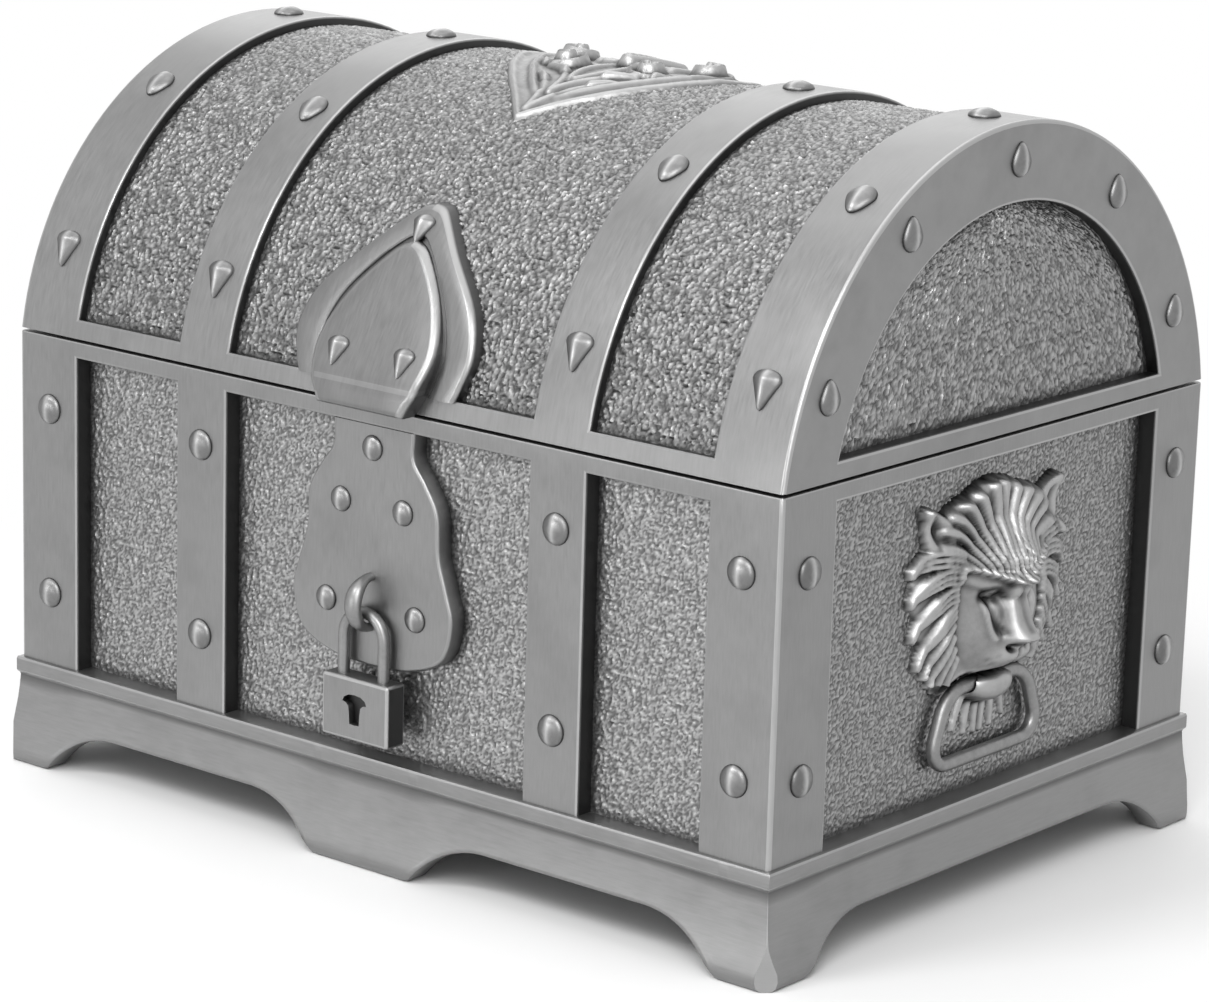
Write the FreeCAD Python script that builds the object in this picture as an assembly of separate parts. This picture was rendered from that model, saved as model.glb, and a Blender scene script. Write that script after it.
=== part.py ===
import FreeCAD, Part
import math
import os
from FreeCAD import Vector

# A small cast treasure chest for trinkets: a strapped box on a moulded plinth, under a barrel lid.
# Millimetres, +Z up, front towards -Y. The origin is on the ground, under the middle of the box.

# Box
body_width = 100.0
body_depth = 70.4
plinth_height = 11.4
wall_height = 35.3
lid_rise = 30.2
wall = 4.0
floor = 2.4
parting_gap = 0.3
lining = 1.0
lining_setback = 1.2
seat_gap = 0.02

# Posts, straps, rails and the fields sunk between them
post_width = 8.4
strap_width = 7.0
strap_centre = 23.5
base_rail = 1.8
lid_rail = 1.8
panel_relief = 2.0
lid_relief = 1.0
lid_end_band = 7.8
lid_end_relief = 1.5
corner_round = 0.7
parting_round = 1.0

# Plinth
ledge_height = 1.7
ledge_outset = 0.45
neck_outset = 0.15
flare_bow_ratio = 0.36
flare_outset = 1.5
toe_height = 1.5
toe_round = 0.4
toe_bow_ratio = 0.3
corner_outset = 1.0
foot_length = 4.9
foot_rest = 3.4
foot_round = 1.5
arch_height = 4.8
arch_run = 4.6
arch_round = 11.0
drop_half = 6.4
plinth_wall = 1.2
flange_width = 9.0
flange_thickness = 2.0
screw_radius = 1.0
screw_head_radius = 1.8
screw_bite = 1.6
screw_inset = 6.0
screw_gap = 0.05
screw_sides = 12

# Rivets
rivet_radius = 1.6
rivet_height = 0.7
small_rivet_radius = 1.3
small_rivet_height = 0.6
rivet_sides = 8
rivet_tiers = [(1.0, 0.0), (0.78, 0.62), (0.34, 1.0)]
rivet_inset = 7.75
post_rivet_inset = 4.4
band_rivet_share = 0.403

# Lock plate, with its half outline as half width and drop below the top rail
lock_neck_half = 5.35
lock_neck_length = 2.6
lock_outline = [(6.9, 4.7), (8.5, 7.5), (8.8, 11.7), (9.8, 14.9), (10.6, 18.1), (9.3, 22.0), (5.0, 23.9)]
lock_drop = 24.3
lock_rivets = [(0.0, 2.2), (-4.1, 8.0), (4.1, 8.0), (-5.9, 18.4), (5.9, 18.4)]

# Staple and padlock
staple_drop = 17.7
staple_radius = 2.55
staple_wire = 0.65
shackle_wire = 0.6
shackle_radius = 2.65
shackle_leg = 3.9
shackle_seat = 1.8
shackle_gap = 0.05
shackle_stand = 0.25
padlock_width = 8.8
padlock_height = 6.4
padlock_thickness = 2.6
padlock_bevel = 0.35
keyhole_half = 1.6
keyhole_stem = 0.65
keyhole_height = 3.1
keyhole_depth = 0.8

# Hasp, with half outlines as half width and height above the lid's lower edge
hasp_outline = [(10.2, 1.8), (10.8, 3.2), (11.5, 6.4), (9.9, 10.4), (5.2, 15.0), (1.8, 18.1)]
hasp_tip = 18.7
hasp_proud = 0.45
flap_outline = [(5.6, -0.2), (6.9, 2.4), (7.5, 6.2), (5.6, 10.6), (2.2, 14.4)]
flap_tip = 15.5
flap_tip_lift = 0.5
flap_knee = 2.4
flap_knee_lift = 2.1
flap_lip = 2.2
flap_gap = 0.3
flap_rivet_half = 4.6
flap_rivet_height = 5.0
tip_rivet_height = 17.0
lip_round = 0.7

# Crown ornament: a heart-shaped scroll frame with leaves
ornament_length = 30.0
ornament_half = 14.0
ornament_plate = 0.7
ornament_rim = 1.9
ornament_rim_width = 1.5
leaf_count = 5
leaf_length = 10.0
leaf_half = 2.0
leaf_spread = 38.0
leaf_height = 1.5

# Hinges
knuckle_radius = 1.3
hinge_gap = 0.3
knuckle_gap = 0.2
leaf_thickness = 0.8
leaf_reach = 5.4
pin_radius = 0.55
pin_gap = 0.05
pin_reach = 0.3
stop_angle = 100.0
stop_reach = 2.2
stop_half = 0.45
stop_gap = 0.1

# Lion masks and their stirrup rings
lion_lift = 3.35
mane_half_width = 12.6
mane_half_height = 10.4
mane_depth = 1.7
mane_tufts = 18
mane_notch_ratio = 0.84
mane_taper_ratio = 0.72
head_half_width = 7.4
head_half_height = 8.4
head_depth = 4.6
muzzle_drop = 4.2
muzzle_half_width = 4.4
muzzle_half_height = 3.6
muzzle_depth = 7.2
nose_half = 2.0
bridge_half = 1.4
brow_half = 3.2
brow_rise = 1.8
brow_half_width = 2.6
brow_half_height = 1.7
brow_depth = 5.0
ear_half = 8.2
ear_rise = 6.4
ear_radius = 2.4
ear_length = 4.6
ear_tiers = [(1.0, 0.0), (0.25, 1.0)]
lion_sides = 12
lion_tiers = [(1.0, 0.0), (0.92, 0.45), (0.66, 0.82), (0.3, 1.0)]
chin_half_width = 3.6
chin_half_height = 2.2
jaw_half_width = 2.9
chin_depth = 3.2
ring_wire = 0.8
ring_gap = 0.3
ring_fit = 0.06
ring_drop = 9.1
ring_height = 7.4
ring_top_half = 6.6
ring_foot_half = 9.4
ring_shoulder = 4.0
ring_corner = 2.0

half_w = body_width / 2
half_d = body_depth / 2
base_top = plinth_height + wall_height
rail_under = base_top - base_rail
lid_bottom = base_top + parting_gap
barrel_radius = (half_d ** 2 + lid_rise ** 2) / (2 * lid_rise)
barrel_axis = lid_bottom + lid_rise - barrel_radius
field_radius = barrel_radius - lid_relief
lid_rail_top = lid_bottom + lid_rail
rim_angle = math.degrees(math.acos((lid_bottom - barrel_axis) / barrel_radius))
band_rivet_step = band_rivet_share * rim_angle
margin = 5.0
outline_steps = 25
wire_sides = 8
bend_steps = 5

X_AXIS = Vector(1, 0, 0)
Y_AXIS = Vector(0, 1, 0)
Z_AXIS = Vector(0, 0, 1)


def block(low, high):
    """A box between two corners."""
    return Part.makeBox(high[0] - low[0], high[1] - low[1], high[2] - low[2], Vector(*low))


def fuse_all(shapes):
    """One solid from shapes that meet or overlap."""
    return shapes[0].fuse(shapes[1:]).removeSplitter()


def mirrored_x(shape):
    """The same piece on the other end of the box."""
    return shape.mirror(Vector(0, 0, 0), X_AXIS)


def rounded_face(corners):
    """A flat face whose corners, given as (point, radius), are rounded by arcs."""
    runs = []
    bends = []
    count = len(corners)
    for i, (point, radius) in enumerate(corners):
        before = corners[i - 1][0] - point
        after = corners[(i + 1) % count][0] - point
        half_angle = before.getAngle(after) / 2
        reach = min(radius / math.tan(half_angle), 0.48 * before.Length, 0.48 * after.Length)
        before.normalize()
        after.normalize()
        start = point + before * reach
        end = point + after * reach
        bend_radius = reach * math.tan(half_angle)
        toward = (before + after).normalize()
        middle = point + toward * (bend_radius / math.sin(half_angle) - bend_radius)
        bends.append((start, middle, end))
    for i, (start, middle, end) in enumerate(bends):
        if (end - start).Length > 1e-6:
            runs.append(Part.Arc(start, middle, end).toShape())
        following = bends[(i + 1) % count][0]
        runs.append(Part.LineSegment(end, following).toShape())
    return Part.Face(Part.Wire(runs))


def mirrored_outline(half_points, tip):
    """Points from the right-hand foot of a symmetric outline over its tip to the left-hand foot."""
    right = [Vector(across, 0, up) for across, up in half_points]
    left = [Vector(-across, 0, up) for across, up in reversed(half_points)]
    return right + [Vector(0, 0, tip)] + left


def spline_face(points, y):
    """A face in the plane of the front at y, bounded by a curve in short steps and one straight edge."""
    curve = Part.BSplineCurve()
    curve.interpolate([Vector(p.x, y, p.z) for p in points])
    return flat_face(curve.discretize(Number=outline_steps))


def barrel(radius, half_length, low):
    """The part of a round bar about the lid's axis that is above a level."""
    bar = Part.makeCylinder(radius, 2 * half_length, Vector(-half_length, 0, barrel_axis), X_AXIS)
    reach = half_length + margin
    keep = block((-reach, -radius, low), (reach, radius, barrel_axis + radius))
    return bar.common(keep)


def barrel_ring(inner, outer, x0, x1, low):
    """A curved plate about the lid's axis between two radii, above a level."""
    start = Vector(x0, 0, barrel_axis)
    ring = Part.makeCylinder(outer, x1 - x0, start, X_AXIS)
    ring = ring.cut(Part.makeCylinder(inner, x1 - x0, start, X_AXIS))
    return ring.common(block((x0, -outer, low), (x1, outer, barrel_axis + outer)))


def barrel_depth(radius, level):
    """How far a surface about the lid's axis stands from the middle plane at a level."""
    return math.sqrt(radius ** 2 - (level - barrel_axis) ** 2)


def polygon(half_x, half_y, level, sides):
    """The corners of a ring of straight edges inside an ellipse, level with the ground."""
    points = []
    for i in range(sides):
        angle = 2 * math.pi * i / sides
        points.append(Vector(half_x * math.cos(angle), half_y * math.sin(angle), level))
    return points


def flat_face(points):
    """A flat face inside a closed ring of corners."""
    return Part.Face(Part.makePolygon(points + points[:1]))


def facets(rings, endless=False):
    """A solid with flat facets between rings of as many corners each, endless or capped."""
    faces = [] if endless else [flat_face(rings[0]), flat_face(rings[-1])]
    following = rings[1:] + rings[:1] if endless else rings[1:]
    for low, high in zip(rings, following):
        for i in range(len(low)):
            faces.append(flat_face([low[i - 1], low[i], high[i], high[i - 1]]))
    solid = Part.Solid(Part.Shell(faces))
    if solid.Volume < 0:
        solid.reverse()
    return solid


def prism(radius, low, high, sides, centre):
    """An upright bar or hole with flat sides between two levels."""
    rings = [polygon(radius, radius, level, sides) for level in (low, high)]
    return facets([[point + centre for point in ring] for ring in rings])


def dome(half_x, half_y, height, sides, tiers):
    """A faceted dome on the ground, its tiers given as (share of the plan, share of the height)."""
    return facets([polygon(half_x * plan, half_y * plan, height * rise, sides) for plan, rise in tiers])


def rivet(point, normal, radius, height):
    """A domed rivet head that sits on a surface."""
    head = dome(radius, radius, height, rivet_sides, rivet_tiers)
    head.Placement = FreeCAD.Placement(point, FreeCAD.Rotation(Z_AXIS, normal))
    return head


def front_fields():
    """The spans along X that lie sunk between posts and straps."""
    post_edge = half_w - post_width
    outer = strap_centre + strap_width / 2
    inner = strap_centre - strap_width / 2
    return [(-post_edge, -outer), (-inner, inner), (outer, post_edge)]


def rounded_shell(solid, level):
    """Rounds the outer edges of a block that lie along one level."""
    edges = [e for e in solid.Edges if all(abs(v.Z - level) < 1e-6 for v in e.Vertexes)]
    return solid.makeFillet(parting_round, edges)


def base_tray():
    """The box: four walls with sunk panels, a floor, and pilot holes for the plinth screws."""
    tray = block((-half_w, -half_d, plinth_height), (half_w, half_d, base_top))
    uprights = [e for e in tray.Edges if abs(e.Vertexes[0].Z - e.Vertexes[1].Z) > 1]
    tray = tray.makeFillet(corner_round, uprights)
    tray = rounded_shell(tray, base_top)
    inside = (half_w - wall, half_d - wall)
    cuts = [block((-inside[0], -inside[1], plinth_height + floor), (inside[0], inside[1], base_top + margin))]
    for low, high in front_fields():
        cuts.append(block((low, -half_d - margin, 0), (high, -half_d + panel_relief, rail_under)))
        cuts.append(block((low, half_d - panel_relief, 0), (high, half_d + margin, rail_under)))
    end_half = half_d - post_width
    panel = block((half_w - panel_relief, -end_half, 0), (half_w + margin, end_half, rail_under))
    cuts += [panel, mirrored_x(panel)]
    for x, y in screw_places():
        top = plinth_height + screw_bite + screw_gap
        cuts.append(prism(screw_radius + seat_gap, 0, top, screw_sides, Vector(x, y, 0)))
    return tray.cut(cuts)


def base_lining():
    """The velvet tray that lines the box."""
    across = half_w - wall - seat_gap
    along = half_d - wall - seat_gap
    low = plinth_height + floor
    high = base_top - lining_setback
    outer = block((-across, -along, low), (across, along, high))
    across -= lining
    along -= lining
    return outer.cut(block((-across, -along, low + lining), (across, along, high + margin)))


def moulding_bar(half, half_length):
    """The plinth's moulded section, as wide as the box in one direction, drawn out along the other."""
    ledge_foot = plinth_height - ledge_height
    neck_top = ledge_foot - (ledge_outset - neck_outset)

    def side(sign):
        def at(outset, level):
            return Vector(sign * (half + outset), -half_length, level)

        bow = neck_outset + flare_bow_ratio * (flare_outset - neck_outset)
        toe = at(flare_outset - toe_bow_ratio * toe_round, toe_bow_ratio * toe_height)
        edges = [Part.LineSegment(at(ledge_outset, plinth_height), at(ledge_outset, ledge_foot)).toShape(),
                 Part.LineSegment(at(ledge_outset, ledge_foot), at(neck_outset, neck_top)).toShape(),
                 Part.Arc(at(neck_outset, neck_top), at(bow, (neck_top + toe_height) / 2),
                          at(flare_outset, toe_height)).toShape(),
                 Part.Arc(at(flare_outset, toe_height), toe, at(flare_outset - toe_round, 0)).toShape()]
        return edges, at(ledge_outset, plinth_height), at(flare_outset - toe_round, 0)

    right, right_top, right_foot = side(1)
    left, left_top, left_foot = side(-1)
    across = [Part.LineSegment(right_top, left_top).toShape(),
              Part.LineSegment(right_foot, left_foot).toShape()]
    section = Part.Face(Part.Wire(Part.__sortEdges__(right + left + across)))
    return section.extrude(Vector(0, 2 * half_length, 0))


def arch_outline(outer, inner, y):
    """The outline cut under the plinth between two feet, with its feet rounded into the ground."""
    corners = [(outer + foot_rest, -margin, 0.0), (outer + foot_rest, 0.0, 0.0), (outer, 0.0, foot_round),
               (outer - arch_run, arch_height, arch_round), (inner + arch_run, arch_height, arch_round),
               (inner, 0.0, foot_round), (inner - foot_rest, 0.0, 0.0), (inner - foot_rest, -margin, 0.0)]
    return rounded_face([(Vector(x, y, z), radius) for x, z, radius in corners])


def corner_trim(outset, low, high):
    """Four upright wedges that trim the plinth's corners to a 45 degree facet."""
    trims = []
    away = Vector(1, 1, 0).normalize()
    aside = Vector(-1, 1, 0).normalize()
    for sx in (-1, 1):
        for sy in (-1, 1):
            turn = Vector(sx, sy, 1)
            foot = Vector(half_w, half_d, low) + away * outset
            ring = [foot - aside * margin, foot + aside * margin,
                    foot + aside * margin + away * margin, foot - aside * margin + away * margin]
            ring = [Vector(p.x * turn.x, p.y * turn.y, p.z) for p in ring]
            trims.append(flat_face(ring).extrude(Vector(0, 0, high - low)))
    return trims


def screw_places():
    """Where the plinth's four screws stand."""
    across = half_w - wall - screw_inset
    along = half_d - wall - screw_inset
    return [(sx * across, sy * along) for sx in (-1, 1) for sy in (-1, 1)]


def screw(x, y, gap):
    """A countersunk screw driven up through the plinth's flange, or its hole when a gap is given."""
    low = plinth_height - flange_thickness
    head_height = screw_head_radius - screw_radius
    length = flange_thickness + (0 if gap else screw_bite)
    outline = [(screw_head_radius, 0.0), (screw_radius, head_height), (screw_radius, length)]
    rings = [polygon(radius + gap, radius + gap, low + up, screw_sides) for radius, up in outline]
    return facets([[point + Vector(x, y, 0) for point in ring] for ring in rings])


def plinth():
    """The moulded foot frame: mitred at the corners, arched between its feet, with a flange for the box."""
    across = moulding_bar(half_w, half_d + flare_outset + margin)
    along = moulding_bar(half_d, half_w + flare_outset + margin)
    along.rotate(Vector(0, 0, 0), Z_AXIS, 90)
    frame = across.common(along)
    inner_w = half_w - plinth_wall
    inner_d = half_d - plinth_wall
    window_w = half_w - flange_width
    window_d = half_d - flange_width
    under = plinth_height - flange_thickness
    cuts = [block((-inner_w, -inner_d, -margin), (inner_w, inner_d, under)),
            block((-window_w, -window_d, -margin), (window_w, window_d, plinth_height + margin))]
    reach = half_d + margin
    foot = half_w - foot_length
    right = arch_outline(foot, drop_half, -reach).extrude(Vector(0, 2 * reach, 0))
    cuts += [right, mirrored_x(right)]
    end_foot = half_d - foot_length
    end_reach = half_w + margin
    end = arch_outline(end_foot, -end_foot, -end_reach).extrude(Vector(0, 2 * end_reach, 0))
    end.rotate(Vector(0, 0, 0), Z_AXIS, 90)
    cuts.append(end)
    cuts += corner_trim(corner_outset, -margin, plinth_height - ledge_height)
    cuts += corner_trim(0.0, plinth_height - ledge_height, plinth_height + margin)
    cuts += [screw(x, y, screw_gap) for x, y in screw_places()]
    return frame.cut(cuts)


def base_rivets(face):
    """The rivets on the posts, and on the straps of the two long sides."""
    levels = (plinth_height + rivet_inset, base_top - rivet_inset)
    heads = []
    if face in ("front", "rear"):
        sign = -1 if face == "front" else 1
        for x in (post_rivet_inset - half_w, -strap_centre, strap_centre, half_w - post_rivet_inset):
            for z in levels:
                heads.append(rivet(Vector(x, sign * half_d, z), Y_AXIS * sign, rivet_radius, rivet_height))
    else:
        sign = -1 if face == "left" else 1
        for y in (post_rivet_inset - half_d, half_d - post_rivet_inset):
            for z in levels:
                heads.append(rivet(Vector(sign * half_w, y, z), X_AXIS * sign, rivet_radius, rivet_height))
    return Part.makeCompound(heads)


def lock_plate():
    """The wavy lock plate, as thick as the front panel is deep, hung from the top rail."""
    half_points = [(lock_neck_half, rail_under), (lock_neck_half, rail_under - lock_neck_length)]
    half_points += [(across, rail_under - drop) for across, drop in lock_outline]
    face = spline_face(mirrored_outline(half_points, rail_under - lock_drop), -half_d)
    return face.extrude(Vector(0, panel_relief, 0))


def lock_plate_rivets():
    """Five small rivets on the lock plate."""
    heads = [rivet(Vector(x, -half_d, rail_under - drop), -Y_AXIS, small_rivet_radius, small_rivet_height)
             for x, drop in lock_rivets]
    return Part.makeCompound(heads)


staple_level = rail_under - staple_drop
eye_radius = staple_radius - staple_wire
crown_y = -half_d - shackle_wire - shackle_stand
crown_reach = eye_radius - shackle_wire - shackle_gap
crown_z = staple_level - math.sqrt(crown_reach ** 2 - (crown_y + half_d) ** 2)
shackle_shoulder = crown_z - shackle_radius
padlock_top = shackle_shoulder - shackle_leg


def half_ring(centre, start, wire, axis):
    """Half a ring of wire, swept from a start point about an axis through its centre."""
    rings = []
    for i in range(2 * bend_steps + 1):
        turn = FreeCAD.Rotation(axis, 90.0 * i / bend_steps)
        reach = turn.multVec(start)
        face_along = FreeCAD.Rotation(axis, axis.cross(reach), reach, "XYZ")
        section = polygon(wire, wire, 0.0, wire_sides)
        rings.append([centre + reach + face_along.multVec(Vector(p.x, 0, p.y)) for p in section])
    return facets(rings)


def staple():
    """A half ring of wire that stands out of the lock plate."""
    return half_ring(Vector(0, -half_d, staple_level), Z_AXIS * staple_radius, staple_wire, X_AXIS)


def padlock_shackle():
    """The bow of the padlock, hung in the staple, with its legs in the body."""
    centre = Vector(0, crown_y, shackle_shoulder)
    bow = half_ring(centre, X_AXIS * -shackle_radius, shackle_wire, Y_AXIS)
    foot = padlock_top - shackle_seat
    legs = [prism(shackle_wire, foot, shackle_shoulder, wire_sides, Vector(x, crown_y, 0))
            for x in (-shackle_radius, shackle_radius)]
    return fuse_all([bow] + legs)


def padlock_body():
    """The bevelled padlock case with leg holes and a flared keyhole."""
    half = padlock_width / 2
    deep = padlock_thickness / 2
    low = padlock_top - padlock_height
    case = block((-half, crown_y - deep, low), (half, crown_y + deep, padlock_top))
    case = case.makeChamfer(padlock_bevel, case.Edges)
    foot = padlock_top - shackle_seat
    cuts = [prism(shackle_wire + shackle_gap, foot, padlock_top + margin, wire_sides, Vector(x, crown_y, 0))
            for x in (-shackle_radius, shackle_radius)]
    middle = padlock_top - padlock_height / 2
    top = middle + keyhole_height / 2
    foot = middle - keyhole_height / 2
    brow = top - keyhole_half / 2
    neck = brow - keyhole_half / 2
    front = crown_y - deep
    right = [(keyhole_stem, foot), (keyhole_stem, neck), (keyhole_half, brow), (keyhole_half / 2, top)]
    ring = [Vector(x, front, z) for x, z in right] + [Vector(-x, front, z) for x, z in reversed(right)]
    cuts.append(flat_face(ring).extrude(Vector(0, keyhole_depth, 0)))
    return case.cut(cuts)


def lid_shell():
    """The barrel lid: bands left standing round sunk fields, arched ends, hollow below."""
    lid = rounded_shell(barrel(barrel_radius, half_w, lid_bottom), lid_bottom)
    cuts = [barrel(barrel_radius - wall, half_w - wall, lid_bottom - parting_round)]
    for low, high in front_fields():
        cuts.append(barrel_ring(field_radius, barrel_radius + margin, low, high, lid_rail_top))
    recess = barrel(barrel_radius - lid_end_band, half_w + margin, lid_rail_top)
    sunk_from = half_w - lid_end_relief
    keep = block((sunk_from, -half_d, lid_bottom), (half_w + margin, half_d, lid_bottom + lid_rise))
    recess = recess.common(keep)
    cuts += [recess, mirrored_x(recess)]
    return lid.cut(cuts)


def lid_lining():
    """The velvet that lines the barrel of the lid."""
    radius = barrel_radius - wall - seat_gap
    half_length = half_w - wall - seat_gap
    low = lid_bottom + lining_setback
    outer = barrel(radius, half_length, low)
    return outer.cut(barrel(radius - lining, half_length - lining, low - margin))


def lid_band_rivets():
    """Five rivets over the barrel on each of the four bands."""
    heads = []
    for x in (post_rivet_inset - half_w, -strap_centre, strap_centre, half_w - post_rivet_inset):
        for step in range(-2, 3):
            angle = math.radians(step * band_rivet_step)
            normal = Vector(0, math.sin(angle), math.cos(angle))
            point = Vector(x, 0, barrel_axis) + normal * barrel_radius
            heads.append(rivet(point, normal, rivet_radius, rivet_height))
    return Part.makeCompound(heads)


def lid_end_rivets(sign):
    """Five rivets round the arched band of one end."""
    heads = []
    radius = barrel_radius - lid_end_band / 2
    for step in range(-2, 3):
        angle = math.radians(step * band_rivet_step)
        point = Vector(sign * half_w, radius * math.sin(angle), barrel_axis + radius * math.cos(angle))
        heads.append(rivet(point, X_AXIS * sign, rivet_radius, rivet_height))
    return Part.makeCompound(heads)


hasp_radius = barrel_radius + hasp_proud
knee_level = lid_bottom + flap_knee
knee_y = -barrel_depth(hasp_radius, knee_level) - flap_knee_lift
tip_level = lid_bottom + flap_tip
tip_y = -barrel_depth(hasp_radius, tip_level) - flap_tip_lift
flap_slope = Vector(0, tip_y - knee_y, tip_level - knee_level).normalize()
flap_normal = Vector(0, -flap_slope.z, flap_slope.y)


def lid_hasp():
    """The spade-shaped hasp: a curved border plate under a flat flap whose lip stands over the parting."""
    reach = half_d + margin
    points = [(across, lid_bottom + up) for across, up in hasp_outline]
    spade = spline_face(mirrored_outline(points, lid_bottom + hasp_tip), -reach)
    spade = spade.extrude(Vector(0, reach, 0))
    border = barrel_ring(field_radius - margin, hasp_radius, -half_w, half_w, lid_bottom).common(spade)
    points = [(across, lid_bottom + up) for across, up in flap_outline]
    leaf = spline_face(mirrored_outline(points, tip_level), -reach).extrude(Vector(0, reach, 0))
    lip_low = lid_bottom + flap_outline[0][1]
    back = -half_d - flap_gap
    front = back - flap_lip
    inside = -half_d + wall / 2
    crest = Vector(0, tip_y, tip_level) + flap_slope
    under = lid_bottom + seat_gap
    section = [(knee_y, knee_level, lip_round), (front, lip_low, lip_round), (back, lip_low, 0.0),
               (back, under, 0.0), (inside, under, 0.0), (crest.y, crest.z, 0.0)]
    section = rounded_face([(Vector(-half_w, y, z), radius) for y, z, radius in section])
    flap = section.extrude(Vector(body_width, 0, 0)).common(leaf)
    rail_seat = barrel(barrel_radius + seat_gap, half_w, lid_bottom - margin)
    rail_seat = rail_seat.common(block((-half_w, -reach, 0), (half_w, 0, lid_rail_top + seat_gap)))
    field_seat = barrel(field_radius + seat_gap, half_w, lid_bottom)
    return fuse_all([border, flap]).cut([rail_seat, field_seat]).removeSplitter()


def lid_hasp_rivets():
    """Two rivets on the flap and one above its tip."""
    heads = []
    level = lid_bottom + flap_rivet_height
    along = (level - knee_level) / flap_slope.z
    for x in (-flap_rivet_half, flap_rivet_half):
        point = Vector(x, knee_y, knee_level) + flap_slope * along
        heads.append(rivet(point, flap_normal, small_rivet_radius, small_rivet_height))
    level = lid_bottom + tip_rivet_height
    point = Vector(0, -barrel_depth(hasp_radius, level), level)
    normal = (point - Vector(0, 0, barrel_axis)).normalize()
    heads.append(rivet(point, normal, small_rivet_radius, small_rivet_height))
    return Part.makeCompound(heads)


def heart_outline(half, length):
    """Plan of the crown ornament: two lobes at the back, drawn to a tip at the front."""
    tip = -0.52 * length
    right = [Vector(0, tip, 0), Vector(0.62 * half, 0.52 * tip, 0), Vector(half, 0.1 * length, 0),
             Vector(0.62 * half, 0.44 * length, 0), Vector(0, 0.34 * length, 0)]
    curve = Part.BSplineCurve()
    curve.interpolate(right)
    side = curve.discretize(Number=outline_steps // 3)
    other = [Vector(-p.x, p.y, 0) for p in reversed(side[1:-1])]
    return flat_face(side + other)


def on_crown(face, low, high):
    """A plan outline raised as a curved plate on the crown of the lid, between two heights over the field."""
    column = face.extrude(Vector(0, 0, barrel_axis + 2 * barrel_radius))
    return barrel_ring(field_radius + low, field_radius + high, -half_w, half_w, barrel_axis).common(column)


def lid_ornament():
    """The heart-shaped scroll frame on the crown, with leaves fanned from its tip."""
    outer = heart_outline(ornament_half, ornament_length)
    inner = heart_outline(ornament_half - ornament_rim_width, ornament_length - 3 * ornament_rim_width)
    pieces = [on_crown(outer, seat_gap, ornament_plate), on_crown(outer.cut(inner), seat_gap, ornament_rim)]
    root = Vector(0, -ornament_length * 0.3, 0)
    for i in range(leaf_count):
        turn = (i - (leaf_count - 1) / 2) * leaf_spread / (leaf_count - 1) * 2
        half_leaf = [(0.0, 0.0), (0.8, 0.35), (1.0, 0.6), (0.7, 0.85), (0.0, 1.0)]
        side = [Vector(leaf_half * across, leaf_length * along, 0) for across, along in half_leaf]
        other = [Vector(-p.x, p.y, 0) for p in reversed(side[1:-1])]
        leaf = flat_face(side + other)
        leaf.rotate(Vector(0, 0, 0), Z_AXIS, turn)
        leaf.translate(root)
        pieces.append(on_crown(leaf, seat_gap, leaf_height))
    return fuse_all(pieces)


hinge_y = half_d + hinge_gap + knuckle_radius
hinge_z = base_top + parting_gap / 2
knuckle_length = (strap_width - 2 * knuckle_gap) / 3
leaf_clear = knuckle_radius + hinge_gap


def knuckle(x0, x1):
    """One barrel of a hinge, before its bore."""
    return Part.makeCylinder(knuckle_radius, x1 - x0, Vector(x0, hinge_y, hinge_z), X_AXIS)


def hinge_bore():
    """The hole for the pin, through both hinges."""
    return Part.makeCylinder(pin_radius + pin_gap, body_width, Vector(-half_w, hinge_y, hinge_z), X_AXIS)


def hinge_base_leaf(sign):
    """The leaf on the rear strap of the box, with a barrel at each side."""
    x0 = sign * strap_centre - strap_width / 2
    x1 = x0 + strap_width
    outer = half_d + leaf_thickness
    pieces = [block((x0, half_d, hinge_z - leaf_reach), (x1, outer, hinge_z - leaf_clear))]
    for low, high in ((x0, x0 + knuckle_length), (x1 - knuckle_length, x1)):
        foot = hinge_z - leaf_clear - seat_gap
        pieces.append(block((low, half_d + seat_gap, foot), (high, outer, hinge_z)))
        pieces.append(knuckle(low, high))
    return fuse_all(pieces).cut(hinge_bore())


def hinge_lid_leaf(sign):
    """The curved leaf on the lid's strap, with a middle barrel and a heel that stops the lid."""
    x0 = sign * strap_centre - strap_width / 2
    x1 = x0 + strap_width
    low = x0 + knuckle_length + knuckle_gap
    high = low + knuckle_length
    inner = barrel_radius + seat_gap
    outer = inner + leaf_thickness
    rear = block((-half_w, 0, 0), (half_w, half_d + margin, hinge_z + leaf_reach))
    plate = barrel_ring(inner, outer, x0, x1, hinge_z + leaf_clear).common(rear)
    tongue = barrel_ring(inner, outer, low, high, lid_bottom).common(rear)
    tongue = tongue.common(block((low, 0, 0), (high, half_d + margin, hinge_z + leaf_clear + seat_gap)))
    bridge = block((low, half_d + seat_gap, hinge_z), (high, hinge_y, lid_bottom + seat_gap))
    heel_face = half_d + leaf_thickness + stop_gap
    heel = block((low, heel_face, hinge_z - stop_reach), (high, hinge_y + stop_half, hinge_z))
    heel.rotate(Vector(0, hinge_y, hinge_z), X_AXIS, stop_angle)
    return fuse_all([plate, tongue, bridge, knuckle(low, high), heel]).cut(hinge_bore())


def hinge_pin(sign):
    """The pin of one hinge, a plain rod that stands a little out of its barrels."""
    x0 = sign * strap_centre - strap_width / 2 - pin_reach
    return Part.makeCylinder(pin_radius, strap_width + 2 * pin_reach, Vector(x0, hinge_y, hinge_z), X_AXIS)


lion_face = half_w - panel_relief
lion_height = (plinth_height + rail_under) / 2 + lion_lift
ring_x = lion_face + ring_gap + ring_wire
ring_level = lion_height - ring_drop


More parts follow.
